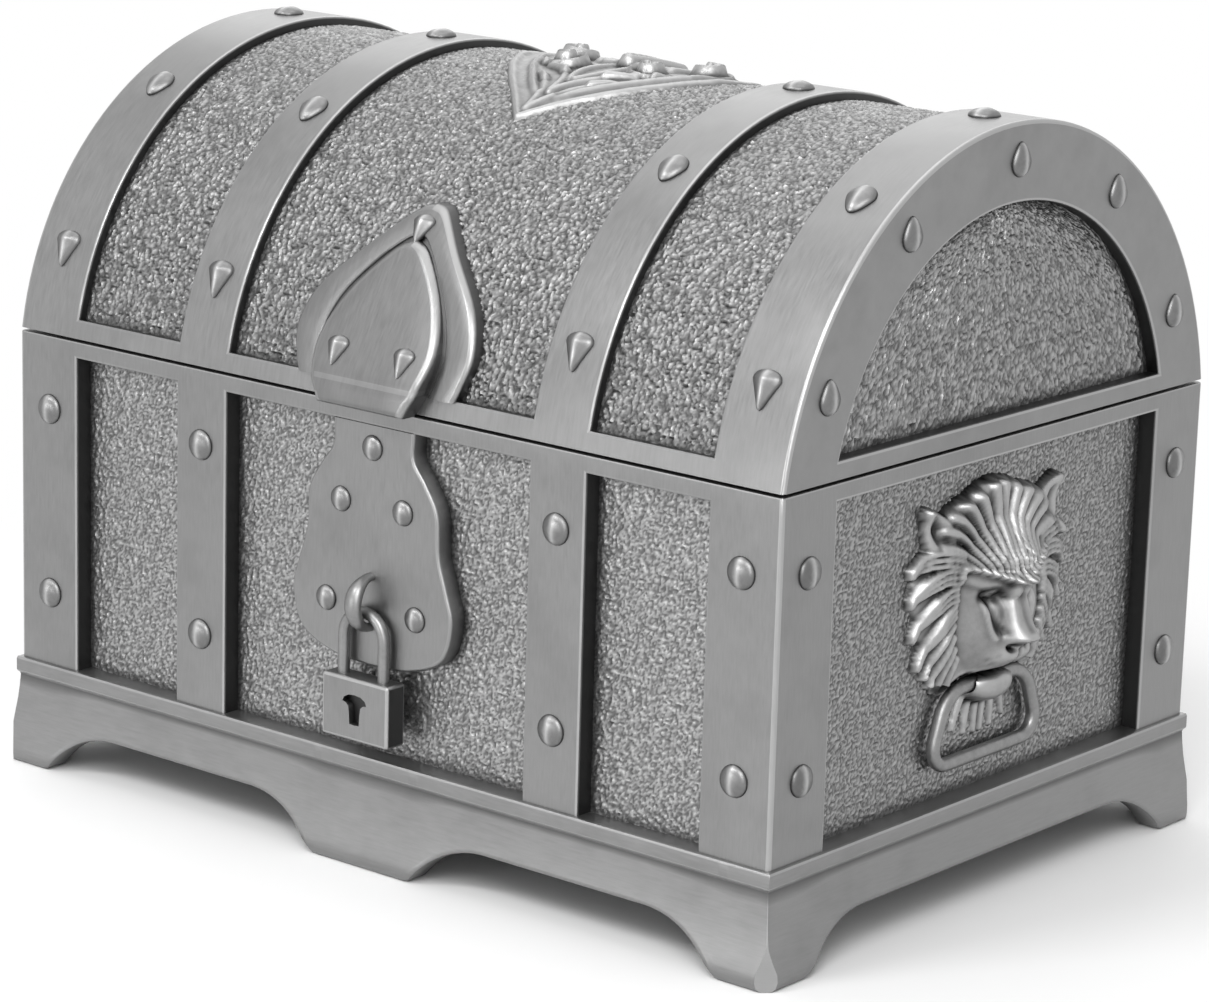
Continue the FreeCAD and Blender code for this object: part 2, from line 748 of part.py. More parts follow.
def mane_outline(scale, depth):
    """A ring of tufts round the lion's head, as a closed polygon at a depth off the panel."""
    points = []
    for i in range(2 * mane_tufts):
        angle = math.pi * i / mane_tufts
        reach = scale * (1.0 if i % 2 == 0 else mane_notch_ratio)
        points.append(Vector(lion_face + depth, reach * mane_half_width * math.sin(angle),
                             lion_height + reach * mane_half_height * math.cos(angle)))
    return points


def lion_mask():
    """The right-hand lion head in high relief, with a hole through its jaw for the ring."""
    def at(across, up, depth):
        return Vector(lion_face + depth, across, lion_height + up)

    def relief(across, up, half_width, half_height, depth):
        lump = dome(half_height, half_width, depth, lion_sides, lion_tiers)
        lump.Placement = FreeCAD.Placement(at(across, up, 0), FreeCAD.Rotation(Z_AXIS, X_AXIS))
        return lump

    mane = facets([mane_outline(1.0, 0.0), mane_outline(mane_taper_ratio, mane_depth)])
    pieces = [mane, relief(0, 0, head_half_width, head_half_height, head_depth),
              relief(0, -muzzle_drop, muzzle_half_width, muzzle_half_height, muzzle_depth),
              relief(0, -ring_drop, chin_half_width, chin_half_height, chin_depth)]
    bridge = []
    for up, half, depth in ((brow_rise, bridge_half, head_depth), (-muzzle_drop, nose_half, muzzle_depth)):
        ring = [at(-half, up, 0), at(half, up, 0), at(half, up, depth), at(-half, up, depth)]
        bridge.append(ring)
    pieces.append(facets(bridge))
    pieces.append(block((lion_face, -jaw_half_width, ring_level),
                        (ring_x + ring_wire, jaw_half_width, lion_height)))
    for sign in (-1, 1):
        pieces.append(relief(sign * brow_half, brow_rise, brow_half_width, brow_half_height, brow_depth))
        ear = dome(ear_radius, ear_radius, ear_length, lion_sides // 2, ear_tiers)
        lean = FreeCAD.Rotation(Z_AXIS, Vector(0, sign, 1))
        ear.Placement = FreeCAD.Placement(at(sign * ear_half, ear_rise, 0), lean)
        pieces.append(ear)
    head = fuse_all(pieces)
    behind = block((lion_face - margin * 2, -half_d, 0), (lion_face, half_d, lion_height + half_d))
    bore = Part.makeCylinder(ring_wire + ring_fit, body_depth, Vector(ring_x, -half_d, ring_level), Y_AXIS)
    return head.cut([behind, bore]).removeSplitter()


def stirrup_ring():
    """The right-hand ring: a wire stirrup that hangs by its top bar from the lion's jaw."""
    foot = ring_level - ring_height
    corners = [(ring_top_half, ring_level, ring_shoulder), (ring_foot_half, foot, ring_corner),
               (-ring_foot_half, foot, ring_corner), (-ring_top_half, ring_level, ring_shoulder)]
    path = rounded_face([(Vector(ring_x, y, z), radius) for y, z, radius in corners]).OuterWire
    points = []
    for edge in path.OrderedEdges:
        steps = bend_steps if isinstance(edge.Curve, Part.Circle) else 2
        run = edge.discretize(Number=steps)
        if edge.Orientation == "Reversed":
            run.reverse()
        points += run[:-1]
    sections = []
    count = len(points)
    for i, point in enumerate(points):
        before = (point - points[i - 1]).normalize()
        after = (points[(i + 1) % count] - point).normalize()
        along = (before + after).normalize()
        stretch = 1 / along.dot(after)
        section = polygon(ring_wire, ring_wire * stretch, 0.0, wire_sides)
        turn = FreeCAD.Rotation(X_AXIS, along.cross(X_AXIS), along, "XYZ")
        sections.append([point + turn.multVec(corner) for corner in section])
    return facets(sections, True)


def main():
    os.makedirs("parts", exist_ok=True)
    mask = lion_mask()
    ring = stirrup_ring()
    pieces = {
        "base_tray": base_tray(), "base_lining": base_lining(), "plinth": plinth(),
        "plinth_screws": Part.makeCompound([screw(x, y, 0) for x, y in screw_places()]),
        "front_strap_rivets": base_rivets("front"), "rear_strap_rivets": base_rivets("rear"),
        "side_rivets_left": base_rivets("left"), "side_rivets_right": base_rivets("right"),
        "lock_plate": lock_plate(), "lock_plate_rivets": lock_plate_rivets(), "staple": staple(),
        "padlock_body": padlock_body(), "padlock_shackle": padlock_shackle(),
        "lid_shell": lid_shell(), "lid_lining": lid_lining(), "lid_band_rivets": lid_band_rivets(),
        "lid_end_rivets_left": lid_end_rivets(-1), "lid_end_rivets_right": lid_end_rivets(1),
        "lid_hasp": lid_hasp(), "lid_hasp_rivets": lid_hasp_rivets(), "lid_ornament": lid_ornament(),
        "lion_mask_right": mask, "lion_mask_left": mirrored_x(mask),
        "ring_right": ring, "ring_left": mirrored_x(ring),
    }
    for side, sign in (("left", -1), ("right", 1)):
        pieces["hinge_base_leaf_" + side] = hinge_base_leaf(sign)
        pieces["hinge_lid_leaf_" + side] = hinge_lid_leaf(sign)
        pieces["hinge_pin_" + side] = hinge_pin(sign)
    for name, shape in pieces.items():
        print(name, "solids", len(shape.Solids), "valid", shape.isValid(), "volume", round(shape.Volume, 2))
        shape.exportStep(os.path.join("parts", name + ".step"))


main()
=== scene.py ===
import math

import bmesh
import bpy
import numpy as np
from bpy.props import FloatProperty, FloatVectorProperty, PointerProperty
from mathutils import Matrix, Vector, noise


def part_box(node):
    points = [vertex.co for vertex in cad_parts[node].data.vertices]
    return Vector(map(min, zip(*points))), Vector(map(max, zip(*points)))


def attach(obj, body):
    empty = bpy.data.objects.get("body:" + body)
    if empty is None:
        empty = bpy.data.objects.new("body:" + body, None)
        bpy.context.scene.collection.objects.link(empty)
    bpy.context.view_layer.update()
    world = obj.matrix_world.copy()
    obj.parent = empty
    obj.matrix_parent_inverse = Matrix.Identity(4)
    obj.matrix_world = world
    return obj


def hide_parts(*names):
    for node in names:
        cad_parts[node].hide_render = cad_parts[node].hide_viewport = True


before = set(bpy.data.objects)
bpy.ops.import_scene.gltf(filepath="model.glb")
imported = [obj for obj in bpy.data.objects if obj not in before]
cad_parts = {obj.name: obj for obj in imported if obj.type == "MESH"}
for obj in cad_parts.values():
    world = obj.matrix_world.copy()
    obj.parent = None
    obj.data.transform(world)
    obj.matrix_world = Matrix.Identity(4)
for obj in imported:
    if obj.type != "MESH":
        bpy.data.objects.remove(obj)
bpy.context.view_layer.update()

bl_info = {
    "name": "Cast treasure chest",
    "version": (1, 0, 0),
    "blender": (4, 5, 0),
    "location": "View3D > Sidebar > Chest",
    "description": "Dresses a small cast treasure chest with straps, stippled fields, lion pulls and a padlock",
    "category": "Object",
}

# Millimetres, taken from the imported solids
tray_low, tray_high = (corner * 1000 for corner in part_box("base_tray"))
lid_low, lid_high = (corner * 1000 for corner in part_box("lid_shell"))
HALF_W, HALF_D, BASE_TOP = tray_high
PLINTH_TOP = tray_low.z
LID_BOTTOM = lid_low.z
LID_RISE = lid_high.z - lid_low.z
BARREL_R = (HALF_D ** 2 + LID_RISE ** 2) / (2 * LID_RISE)
BARREL_Z = lid_high.z - BARREL_R
RIM_ANGLE = math.acos((LID_BOTTOM - BARREL_Z) / BARREL_R)
# How far a tile or a sunk field reaches behind the surface that shows
TUCK = 0.35
# How far the back of a carved relief lies under its field
RELIEF_BACK = 0.6

LONG_SIDES = (("front", -1), ("rear", 1))
ENDS = (("left", -1), ("right", 1))

# Half width of the lock plate and the distance below the rail
LOCK_PLATE = [(5.35, -0.05), (5.35, 2.6), (6.9, 4.7), (8.5, 7.5), (8.8, 11.7), (9.8, 14.9), (10.6, 18.1),
              (9.3, 22.0), (5.0, 23.9), (0.0, 24.3)]
# The staple's level below the rail, its bend and its wire, then the padlock's wire and the bend of its bow
STAPLE_DROP, STAPLE_R, STAPLE_WIRE = 17.7, 2.55, 0.65
BOW_WIRE, BOW_R = 0.6, 2.65
# Half the top and the foot of a pull ring, their levels, and how far its bar stands off the end field
RING_TOP_HALF, RING_FOOT_HALF, RING_TOP, RING_FOOT, RING_OFF = 6.6, 9.4, 22.4, 15.0, 1.1
# Levels of the hasp's knee and tip above the lid's lower edge
KNEE_UP, TIP_UP = 2.4, 15.5


def linear(colour):
    """An sRGB hex colour as linear red, green and blue."""
    parts = [int(colour[i:i + 2], 16) / 255 for i in (1, 3, 5)]
    return tuple(p / 12.92 if p <= 0.04045 else ((p + 0.055) / 1.055) ** 2.4 for p in parts)


def length(name, description, millimetres):
    """A length for the sidebar, shown in the scene's units."""
    return FloatProperty(name=name, description=description, default=millimetres / 1000, min=0.0,
                         precision=5, unit="LENGTH")


def colour(name, description, value):
    """A colour for the sidebar."""
    return FloatVectorProperty(name=name, description=description, default=linear(value), min=0.0, max=1.0,
                               subtype="COLOR")


class ChestSizes(bpy.types.PropertyGroup):
    """Sizes of the chest's straps, fields, edges and rivets."""

    wall: length("Wall", "Thickness of the cast walls", 4.0)
    floor: length("Floor", "Thickness of the box's floor", 2.4)
    post_width: length("Post width", "Width of the posts at the corners and of the lid's end bands", 8.4)
    strap_width: length("Strap width", "Width of the two inner straps", 7.0)
    strap_centre: length("Strap centre", "Distance of an inner strap from the middle", 23.5)
    rail: length("Rail", "Height of the plain rails each side of the parting", 1.8)
    field_depth: length("Field depth", "How far the box's stippled fields lie behind the posts", 2.0)
    lid_field_depth: length("Lid field depth", "How far the lid's stippled fields lie below its bands", 1.0)
    end_band: length("End band", "Width of the arched band on each end of the lid", 7.8)
    end_depth: length("End depth", "How far the lid's end fields lie behind the arched band", 1.5)
    edge_round: length("Edge round", "Rounding of the outer edges", 0.4)
    rim_round: length("Rim round", "Rounding of the edges round each field", 0.3)
    lip_round: length("Lip round", "Rounding of the edges each side of the parting", 0.18)
    stipple_pitch: length("Stipple pitch", "Distance between two grains of the stippled fields", 0.29)
    stipple_height: length("Stipple height", "Half the height of the grain on the box's fields", 0.12)
    lid_stipple_height: length("Lid stipple height", "Half the height of the grain on the lid's fields", 0.19)
    stipple_step: length("Stipple step", "Mesh spacing on the stippled fields", 0.2)
    rivet_radius: length("Rivet radius", "Radius of the rivets on posts and bands", 1.6)
    rivet_height: length("Rivet height", "Height of the rivets on posts and bands", 0.7)
    small_rivet_radius: length("Small rivet radius", "Radius of the rivets on the lock plate and hasp", 1.3)
    small_rivet_height: length("Small rivet height", "Height of the rivets on the lock plate and hasp", 0.6)


class ChestColours(bpy.types.PropertyGroup):
    """Colours of the chest's finishes and of the floor."""

    pewter: colour("Pewter", "Brushed metal of the straps, posts and rails", "#929292")
    # The patina colour is real oxide in the hollows, and it also paints shade on recess walls, creases, grooves
    # and the padlock's sides.
    patina: colour("Patina", "Dark oxide that stays in the hollows", "#3c3c3c")
    # The rubbed colour is real rubbed metal, and it also paints highlights on rounds, on right-facing rims and
    # in a streak down each rivet.
    rubbed: colour("Rubbed edge", "Bare metal where edges are rubbed bright", "#c6c6c6")
    steel: colour("Steel", "Hinges and screws", "#7b7b7a")
    velvet: colour("Velvet", "Pile of the liners", "#4a0d16")
    paper: colour("Floor", "The pale floor under the chest", "#f2f2f2")


def mm(name):
    """One of the chest's sizes in millimetres."""
    return getattr(bpy.context.scene.chest_sizes, name) * 1000


def tint(name):
    """One of the chest's colours with full opacity."""
    return (*getattr(bpy.context.scene.chest_colours, name), 1.0)


def add_node(tree, kind, inputs=None, **settings):
    """Adds a shader node, makes its settings, then links each input to a socket or gives it a value."""
    node = tree.nodes.new("ShaderNode" + kind)
    for name, value in settings.items():
        setattr(node, name, value)
    for socket, value in (inputs or {}).items():
        if isinstance(value, bpy.types.NodeSocket):
            tree.links.new(value, node.inputs[socket])
        else:
            node.inputs[socket].default_value = value
    return node


def new_material(name):
    """An empty node material and its tree, ready for a shader."""
    material = bpy.data.materials.new(name)
    material.use_nodes = True
    material.node_tree.nodes.clear()
    return material, material.node_tree


def speckle(tree, grain, detail, roughness):
    """Noise on Object coordinates in metres. The grain is one size in millimetres, or three to stretch it."""
    place = add_node(tree, "TexCoord").outputs["Object"]
    scale = 1.0
    if isinstance(grain, tuple):
        stretch = tuple(1000 / size for size in grain)
        place = add_node(tree, "Mapping", {"Vector": place, "Scale": stretch}).outputs["Vector"]
    else:
        scale = 1000 / grain
    made = {"Vector": place, "Scale": scale, "Detail": detail, "Roughness": roughness}
    return add_node(tree, "TexNoise", made).outputs["Fac"]


def mark_of(tree, name):
    """One of the marks that the shapes carry."""
    return add_node(tree, "Attribute", attribute_name=name).outputs["Fac"]


def ranged(tree, value, low, high, start=0.0, end=1.0, curve="LINEAR"):
    """A value from one range carried over to another."""
    ends = {"Value": value, "From Min": low, "From Max": high, "To Min": start, "To Max": end}
    return add_node(tree, "MapRange", ends, interpolation_type=curve).outputs["Result"]


def mixed(tree, share, first, second):
    """Two colours mixed by a share of the second."""
    return add_node(tree, "MixRGB", {"Fac": share, "Color1": first, "Color2": second}).outputs["Color"]


def reckoned(tree, operation, first, second):
    """Two values brought together by one step of arithmetic."""
    return add_node(tree, "Math", {0: first, 1: second}, operation=operation).outputs["Value"]


def bumped(tree, height, strength, distance):
    """Normals for a fine relief, its height in metres."""
    made = {"Height": height, "Strength": strength, "Distance": distance}
    return add_node(tree, "Bump", made).outputs["Normal"]


def show(tree, shader, kind="Material"):
    """Joins a shader to the tree's output."""
    add_node(tree, "Output" + kind, {"Surface": shader})


def show_metal(tree, colour, roughness, normal):
    """Joins a bare metal to the material's output."""
    made = {"Metallic": 1.0, "Base Color": colour, "Roughness": roughness, "Normal": normal}
    show(tree, add_node(tree, "BsdfPrincipled", made).outputs["BSDF"])


def brushed_pewter(name, grain):
    """Zinc alloy plated in antique pewter and brushed by hand.

    The eye sees a soft satin grey with fine parallel scratches, bright edges that are partly rubbed and partly
    a painted highlight, and a darker film in the corners that is partly oxide and partly painted shade. The
    scratches are drawn 0.2 mm wide, coarser than real ones, so that they show.
    """
    material, tree = new_material(name)
    pewter, patina = tint("pewter"), tint("patina")
    scratches = speckle(tree, grain, 3.0, 0.62)
    cloud = speckle(tree, 9.0, 3.0, 0.6)
    grey = mixed(tree, ranged(tree, scratches, 0.3, 0.7), mixed(tree, 0.14, pewter, patina), pewter)
    clouded = mixed(tree, ranged(tree, cloud, 0.45, 0.8, 0.0, 0.16), grey, patina)
    # Painted highlight on edges and rounds, mixed with real rubbing.
    edge = reckoned(tree, "MULTIPLY", mark_of(tree, "wear_and_highlight"), 0.45)
    # Painted shade on recess walls, in creases and on shaded sides, mixed with real patina.
    corner = reckoned(tree, "MULTIPLY", mark_of(tree, "shade_and_patina"), 0.96)
    final = mixed(tree, corner, mixed(tree, edge, clouded, tint("rubbed")), patina)
    satin = ranged(tree, scratches, 0.25, 0.75, 0.33, 0.47)
    show_metal(tree, final, satin, bumped(tree, scratches, 0.22, 0.00003))
    return material


def stippled_pewter(name):
    """The same plated alloy, cast against a peened mould.

    The eye sees a close bright grain on dark valleys, darkest along the rim, which is partly oxide and partly
    painted shade, and darker on the lid's slopes by painted shade.
    """
    material, tree = new_material(name)
    pewter, patina = tint("pewter"), tint("patina")
    raised = ranged(tree, mark_of(tree, "height"), -0.9, 0.9, curve="SMOOTHSTEP")
    valley = mixed(tree, 0.6, pewter, patina)
    peak = mixed(tree, 0.45, pewter, tint("rubbed"))
    # Painted shade that darkens the lid's fields where they slope away from the crown.
    film = reckoned(tree, "MULTIPLY", mark_of(tree, "shade_and_patina"), 0.4)
    slope_shaded = mixed(tree, film, mixed(tree, raised, valley, peak), patina)
    # Darker towards the field's rim and round the lock plate: partly patina, partly painted shade.
    shade = ranged(tree, mark_of(tree, "inset"), 0.0, 1.3, 0.55, 0.0, "SMOOTHSTEP")
    satin = ranged(tree, raised, 0.0, 1.0, 0.52, 0.38)
    grain = bumped(tree, speckle(tree, 0.3, 2.0, 0.6), 0.5, 0.0001)
    show_metal(tree, mixed(tree, shade, slope_shaded, patina), satin, grain)
    return material


def relief_pewter(name):
    """Plated alloy with cast ornament, rubbed on its high places.

    The eye sees bright ridges over hollows that keep the dark oxide, which makes small relief easy to read.
    On the rivets the same marks paint a highlight streak down each head and shade on one side.
    """
    material, tree = new_material(name)
    patina = tint("patina")
    # Real rubbing and patina on the cast ornament. On rivets it also carries a painted highlight streak and
    # painted shade on one side.
    hollow = mark_of(tree, "rub_patina_and_painted_light")
    mottle = speckle(tree, 0.9, 4.0, 0.65)
    crest = reckoned(tree, "MAXIMUM", mark_of(tree, "wear_and_highlight"), ranged(tree, hollow, 0.0, 1.0, 0.0, 0.8))
    grey = mixed(tree, ranged(tree, mottle, 0.35, 0.75, 0.0, 0.22), tint("pewter"), patina)
    bright = mixed(tree, crest, grey, tint("rubbed"))
    final = mixed(tree, ranged(tree, hollow, 0.0, -1.0), bright, patina)
    satin = ranged(tree, mottle, 0.25, 0.75, 0.34, 0.48)
    show_metal(tree, final, satin, bumped(tree, mottle, 0.25, 0.00003))
    return material


def dulled_steel(name, grain):
    """Stamped mild steel with a thin oil film.

    The eye sees a plain grey metal, a little warmer than the pewter, with faint rolling marks.
    """
    material, tree = new_material(name)
    marks = speckle(tree, grain, 3.0, 0.6)
    grey = mixed(tree, ranged(tree, marks, 0.35, 0.75, 0.0, 0.4), tint("steel"), tint("patina"))
    satin = ranged(tree, marks, 0.25, 0.75, 0.3, 0.48)
    show_metal(tree, grey, satin, bumped(tree, marks, 0.2, 0.00002))
    return material


def flocked_velvet(name):
    """Short nylon flock on a card liner.

    The eye sees a deep matt red that pales at a glancing angle, with soft patches where the pile leans.
    The pile is drawn 0.35 mm apart, coarser than real flock, so that it shows.
    """
    material, tree = new_material(name)
    pile = speckle(tree, 0.35, 2.0, 0.7)
    patch = ranged(tree, speckle(tree, 11.0, 2.0, 0.5), 0.35, 0.65, 0.55, 1.25)
    level = reckoned(tree, "MULTIPLY", patch, ranged(tree, pile, 0.3, 0.7, 0.7, 1.2))
    red = add_node(tree, "HueSaturation", {"Color": tint("velvet"), "Value": level}).outputs["Color"]
    show(tree, add_node(tree, "BsdfPrincipled", {
        "Base Color": red, "Normal": bumped(tree, pile, 0.5, 0.0002), "Roughness": 0.95,
        "Specular IOR Level": 0.15, "Sheen Weight": 0.6, "Sheen Roughness": 0.4,
        "Sheen Tint": (0.85, 0.4, 0.42, 1.0)}).outputs["BSDF"])
    return material


# Each finish with its material's name and, where it is brushed or rolled, its grain in millimetres
FINISHES = {
    "upright": (brushed_pewter, "Brushed pewter upright", (0.22, 0.22, 2.0)),
    "round": (brushed_pewter, "Brushed pewter round the barrel", (0.22, 2.0, 2.0)),
    "level": (brushed_pewter, "Brushed pewter level", (2.6, 2.6, 0.22)),
    "stippled": (stippled_pewter, "Stippled antique pewter"),
    "relief": (relief_pewter, "Rubbed relief pewter"),
    "steel": (dulled_steel, "Dulled stamped steel", (3.0, 0.25, 0.25)),
    "velvet": (flocked_velvet, "Wine flocked velvet"),
}


def finish_for(key):
    """One of the chest's materials, made once."""
    maker, name, *grain = FINISHES[key]
    return bpy.data.materials.get(name) or maker(name, *grain)


def new_shape(*marks):
    """An empty mesh with the marks that the finishes read."""
    bm = bmesh.new()
    # The face mark paints highlights as well as rubbed wear. The vertex mark paints shade as well as patina.
    bm.faces.layers.float.new("wear_and_highlight")
    for name in ("shade_and_patina", *marks):
        bm.verts.layers.float.new(name)
    return bm


def mark_verts(bm, shade_and_patina):
    """Sets how dark each vertex is painted, by a function of its place: painted shade in recesses, creases and
    on shaded sides, with some real patina.
    """
    layer = bm.verts.layers.float["shade_and_patina"]
    for v in bm.verts:
        v[layer] = shade_and_patina(v.co)


def mark_faces(bm, wear_and_highlight):
    """Sets how bright each face is painted, by a function of the face and its middle: partly real rubbing,
    partly a painted highlight.
    """
    layer = bm.faces.layers.float["wear_and_highlight"]
    for face in bm.faces:
        face[layer] = wear_and_highlight(face, face.calc_center_median())


def near(a, b):
    """Whether two lengths agree to a hundredth of a millimetre."""
    return abs(a - b) < 0.01


def verts_of(made):
    """The vertices in an operator's answer."""
    return [part for part in made["geom"] if isinstance(part, bmesh.types.BMVert)]


def edges_of(made, key="geom"):
    """The edges in an operator's answer."""
    return [part for part in made[key] if isinstance(part, bmesh.types.BMEdge)]


def open_edges(bm):
    """The edges with one face or none."""
    return [e for e in bm.edges if len(e.link_faces) < 2]


def close_holes(bm):
    """Fills every open loop with one face."""
    bmesh.ops.holes_fill(bm, edges=open_edges(bm), sides=0)


def turn_outward(bm):
    """Makes all faces look outward."""
    bmesh.ops.recalc_face_normals(bm, faces=bm.faces)


def merge(bm, reach=0.001):
    """Merges the vertices that lie together."""
    bmesh.ops.remove_doubles(bm, verts=bm.verts, dist=reach)


def add_block(bm, middle, size):
    """A plain block."""
    bmesh.ops.create_cube(bm, size=1.0, matrix=Matrix.Translation(middle) @ Matrix.Diagonal((*size, 1)))


def draw_out(bm, edges, shift=(0, 0, 0)):
    """Draws edges out to faces. Gives the fresh vertices and the edges between them."""
    made = bmesh.ops.extrude_edge_only(bm, edges=edges)
    fresh = verts_of(made)
    bmesh.ops.translate(bm, vec=shift, verts=fresh)
    among = set(fresh)
    return fresh, [e for e in edges_of(made) if among.issuperset(e.verts)]


def closed_outline(bm, points):
    """Edges round a closed row of points."""
    verts = [bm.verts.new(p) for p in points]
    return [bm.edges.new((verts[i - 1], verts[i])) for i in range(len(verts))]


def slice_at(bm, axis, level, clear_below=False):
    """Cuts the whole shape by a plane across an axis, and may clear away what lies below it."""
    normal = Vector((axis == 0, axis == 1, axis == 2))
    bmesh.ops.bisect_plane(bm, geom=bm.verts[:] + bm.edges[:] + bm.faces[:], dist=1e-5,
                           plane_co=normal * level, plane_no=normal, clear_inner=clear_below)


def sharp_edges(bm, test):
    """The outward edges whose middle passes a test."""
    bm.normal_update()
    return [e for e in bm.edges if len(e.link_faces) == 2 and e.calc_face_angle_signed() > 0.45
            and test((e.verts[0].co + e.verts[1].co) / 2)]


def soften(bm, edges, width, segments=3, rubbed=1.0, right=None):
    """Rounds edges and marks the round as rubbed and as a painted highlight, by a share that may differ where
    it looks to the right, which paints a brighter highlight on rounds that face right.
    """
    lit_and_worn = bm.faces.layers.float["wear_and_highlight"]
    made = bmesh.ops.bevel(bm, geom=edges, offset=width, offset_type="OFFSET", affect="EDGES",
                           segments=segments, profile=0.5, material=-1, clamp_overlap=True)
    bm.normal_update()
    for face in made["faces"]:
        # Rounds that face right get their own share: a painted highlight.
        face[lit_and_worn] = right if right is not None and face.normal.x > 0.2 else rubbed


def smooth_mesh(bm, name):
    """Turns a shape in millimetres into a smooth mesh in metres."""
    turn_outward(bm)
    bmesh.ops.scale(bm, vec=(0.001, 0.001, 0.001), verts=bm.verts)
    for face in bm.faces:
        face.smooth = True
    return plain_mesh(bm, name)


def plain_mesh(bm, name):
    """Turns a shape into a mesh as it is."""
    mesh = bpy.data.meshes.new(name)
    bm.to_mesh(mesh)
    bm.free()
    return mesh


def show_object(name, data):
    """Puts a mesh, lamp or camera in the scene."""
    item = bpy.data.objects.new(name, data)
    bpy.context.scene.collection.objects.link(item)
    return item


def place_piece(mesh, name, body, finish, replaced, sharp, weighted=False):
    """Puts a finished mesh in the scene, ties it to its body and hides the nodes it stands for."""
    mesh.set_sharp_from_angle(angle=math.radians(sharp))
    mesh.materials.clear()
    mesh.materials.append(finish_for(finish))
    piece = show_object(name, mesh)
    if weighted:
        piece.modifiers.new("Even shading", "WEIGHTED_NORMAL").keep_sharp = True
    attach(piece, body)
    if replaced:
        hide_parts(*replaced)


def finish_piece(bm, name, body, finish, replaced=(), sharp=38, weighted=False):
    """Turns a shape in millimetres into a piece that rides on a body."""
    place_piece(smooth_mesh(bm, name), name, body, finish, replaced, sharp, weighted)


def finish_relief(bm, name, body, node, sharp=50):
    """Turns a shape into a piece of rubbed trim that stands for a node."""
    finish_piece(bm, name, body, "relief", (node,), sharp)


def loft(bm, rows, joined):
    """A skin over closed rows of points, row by row. It joins back to its start, or its ends are filled."""
    ring = bmesh.ops.create_circle(bm, segments=len(rows[0]), radius=1.0)["verts"]
    ring = sorted(ring, key=lambda v: v.index)
    order = {v: i for i, v in enumerate(ring)}
    first = loop = [e for e in bm.edges if e.verts[0] in order and e.verts[1] in order]
    for v, point in zip(ring, rows[0]):
        v.co = point
    for row in rows[1:]:
        fresh, loop = draw_out(bm, loop)
        order = {v: order[e.other_vert(v)] for v in fresh for e in v.link_edges if e.other_vert(v) in order}
        for v, i in order.items():
            v.co = row[i]
    if joined:
        bmesh.ops.bridge_loops(bm, edges=first + loop)
    else:
        bmesh.ops.holes_fill(bm, edges=first + loop, sides=0)


def barrel_shell(bm, radius, half_length, stops, steps):
    """An open barrel vault: a chain over the crown, drawn out along the lid. Stops are angles kept as lines.

    Gives the chain at the near end and the one at the far end.
    """
    inner = stops[-1]
    angles = [-stop for stop in stops] + [-inner + 2 * inner * i / steps for i in range(1, steps)]
    angles += reversed(stops)
    verts = [bm.verts.new((-half_length, radius * math.sin(a), BARREL_Z + radius * math.cos(a)))
             for a in angles]
    chain = [bm.edges.new(pair) for pair in zip(verts, verts[1:])]
    return chain, draw_out(bm, chain, (2 * half_length, 0, 0))[1]


def cap_arcs(bm, arcs, level):
    """Fills each arc of a barrel down to a chord between its feet, which lie at a level."""
    for arc in arcs:
        feet = [v for e in arc for v in e.verts if v.co.z < level + 0.01]
        bmesh.ops.contextual_create(bm, geom=arc + [bm.edges.new((feet[0], feet[-1]))])


def barrel_reach(radius, z):
    """Half depth of a barrel of this radius about the lid's axis, at a height."""
    return math.sqrt(max(0.0, radius ** 2 - (z - BARREL_Z) ** 2))


def from_axis(point):
    """Distance of a point from the barrel's axis."""
    return math.hypot(point.y, point.z - BARREL_Z)


def over_barrel(radius, angle, x=0.0):
    """A point over the barrel at an angle from the crown, and its outward direction."""
    outward = Vector((0, math.sin(angle), math.cos(angle)))
    return Vector((x, 0, BARREL_Z)) + outward * radius, outward


# The hasp's face on the barrel, and where its flap bends and ends
HASP_R = BARREL_R + 0.45
KNEE = Vector((0, -barrel_reach(HASP_R, LID_BOTTOM + KNEE_UP) - 2.1, LID_BOTTOM + KNEE_UP))
TIP = Vector((0, -barrel_reach(HASP_R, LID_BOTTOM + TIP_UP) - 0.5, LID_BOTTOM + TIP_UP))


def front_fields():
    """Left and right edges of the three fields of a long side, from left to right."""
    outer = mm("strap_centre") + mm("strap_width") / 2
    inner = mm("strap_centre") - mm("strap_width") / 2
    post = HALF_W - mm("post_width")
    return [(-post, -outer), (-inner, inner), (outer, post)]


def smooth_outline(points, steps):
    """Points on a smooth open curve through the given ones, as pairs."""
    line = [Vector(p) for p in points]
    line = [2 * line[0] - line[1]] + line + [2 * line[-1] - line[-2]]
    curve = []
    for i in range(1, len(line) - 2):
        a, b, c, d = line[i - 1:i + 3]
        for s in range(steps):
            t = s / steps
            curve.append(0.5 * (2 * b + (c - a) * t + (2 * a - 5 * b + 4 * c - d) * t ** 2
                                + (3 * b - a - 3 * c + d) * t ** 3))
    return curve + [line[-2]]


def stipple(point, pitch):
    """Height of the peened grain at a point, about -1 to 1."""
    coarse = noise.noise(point / (pitch * 0.9))
    fine = noise.noise(point / (pitch * 0.45) + Vector((31.0, 7.0, 19.0)))
    return math.tanh(2.6 * coarse + 0.8 * fine)


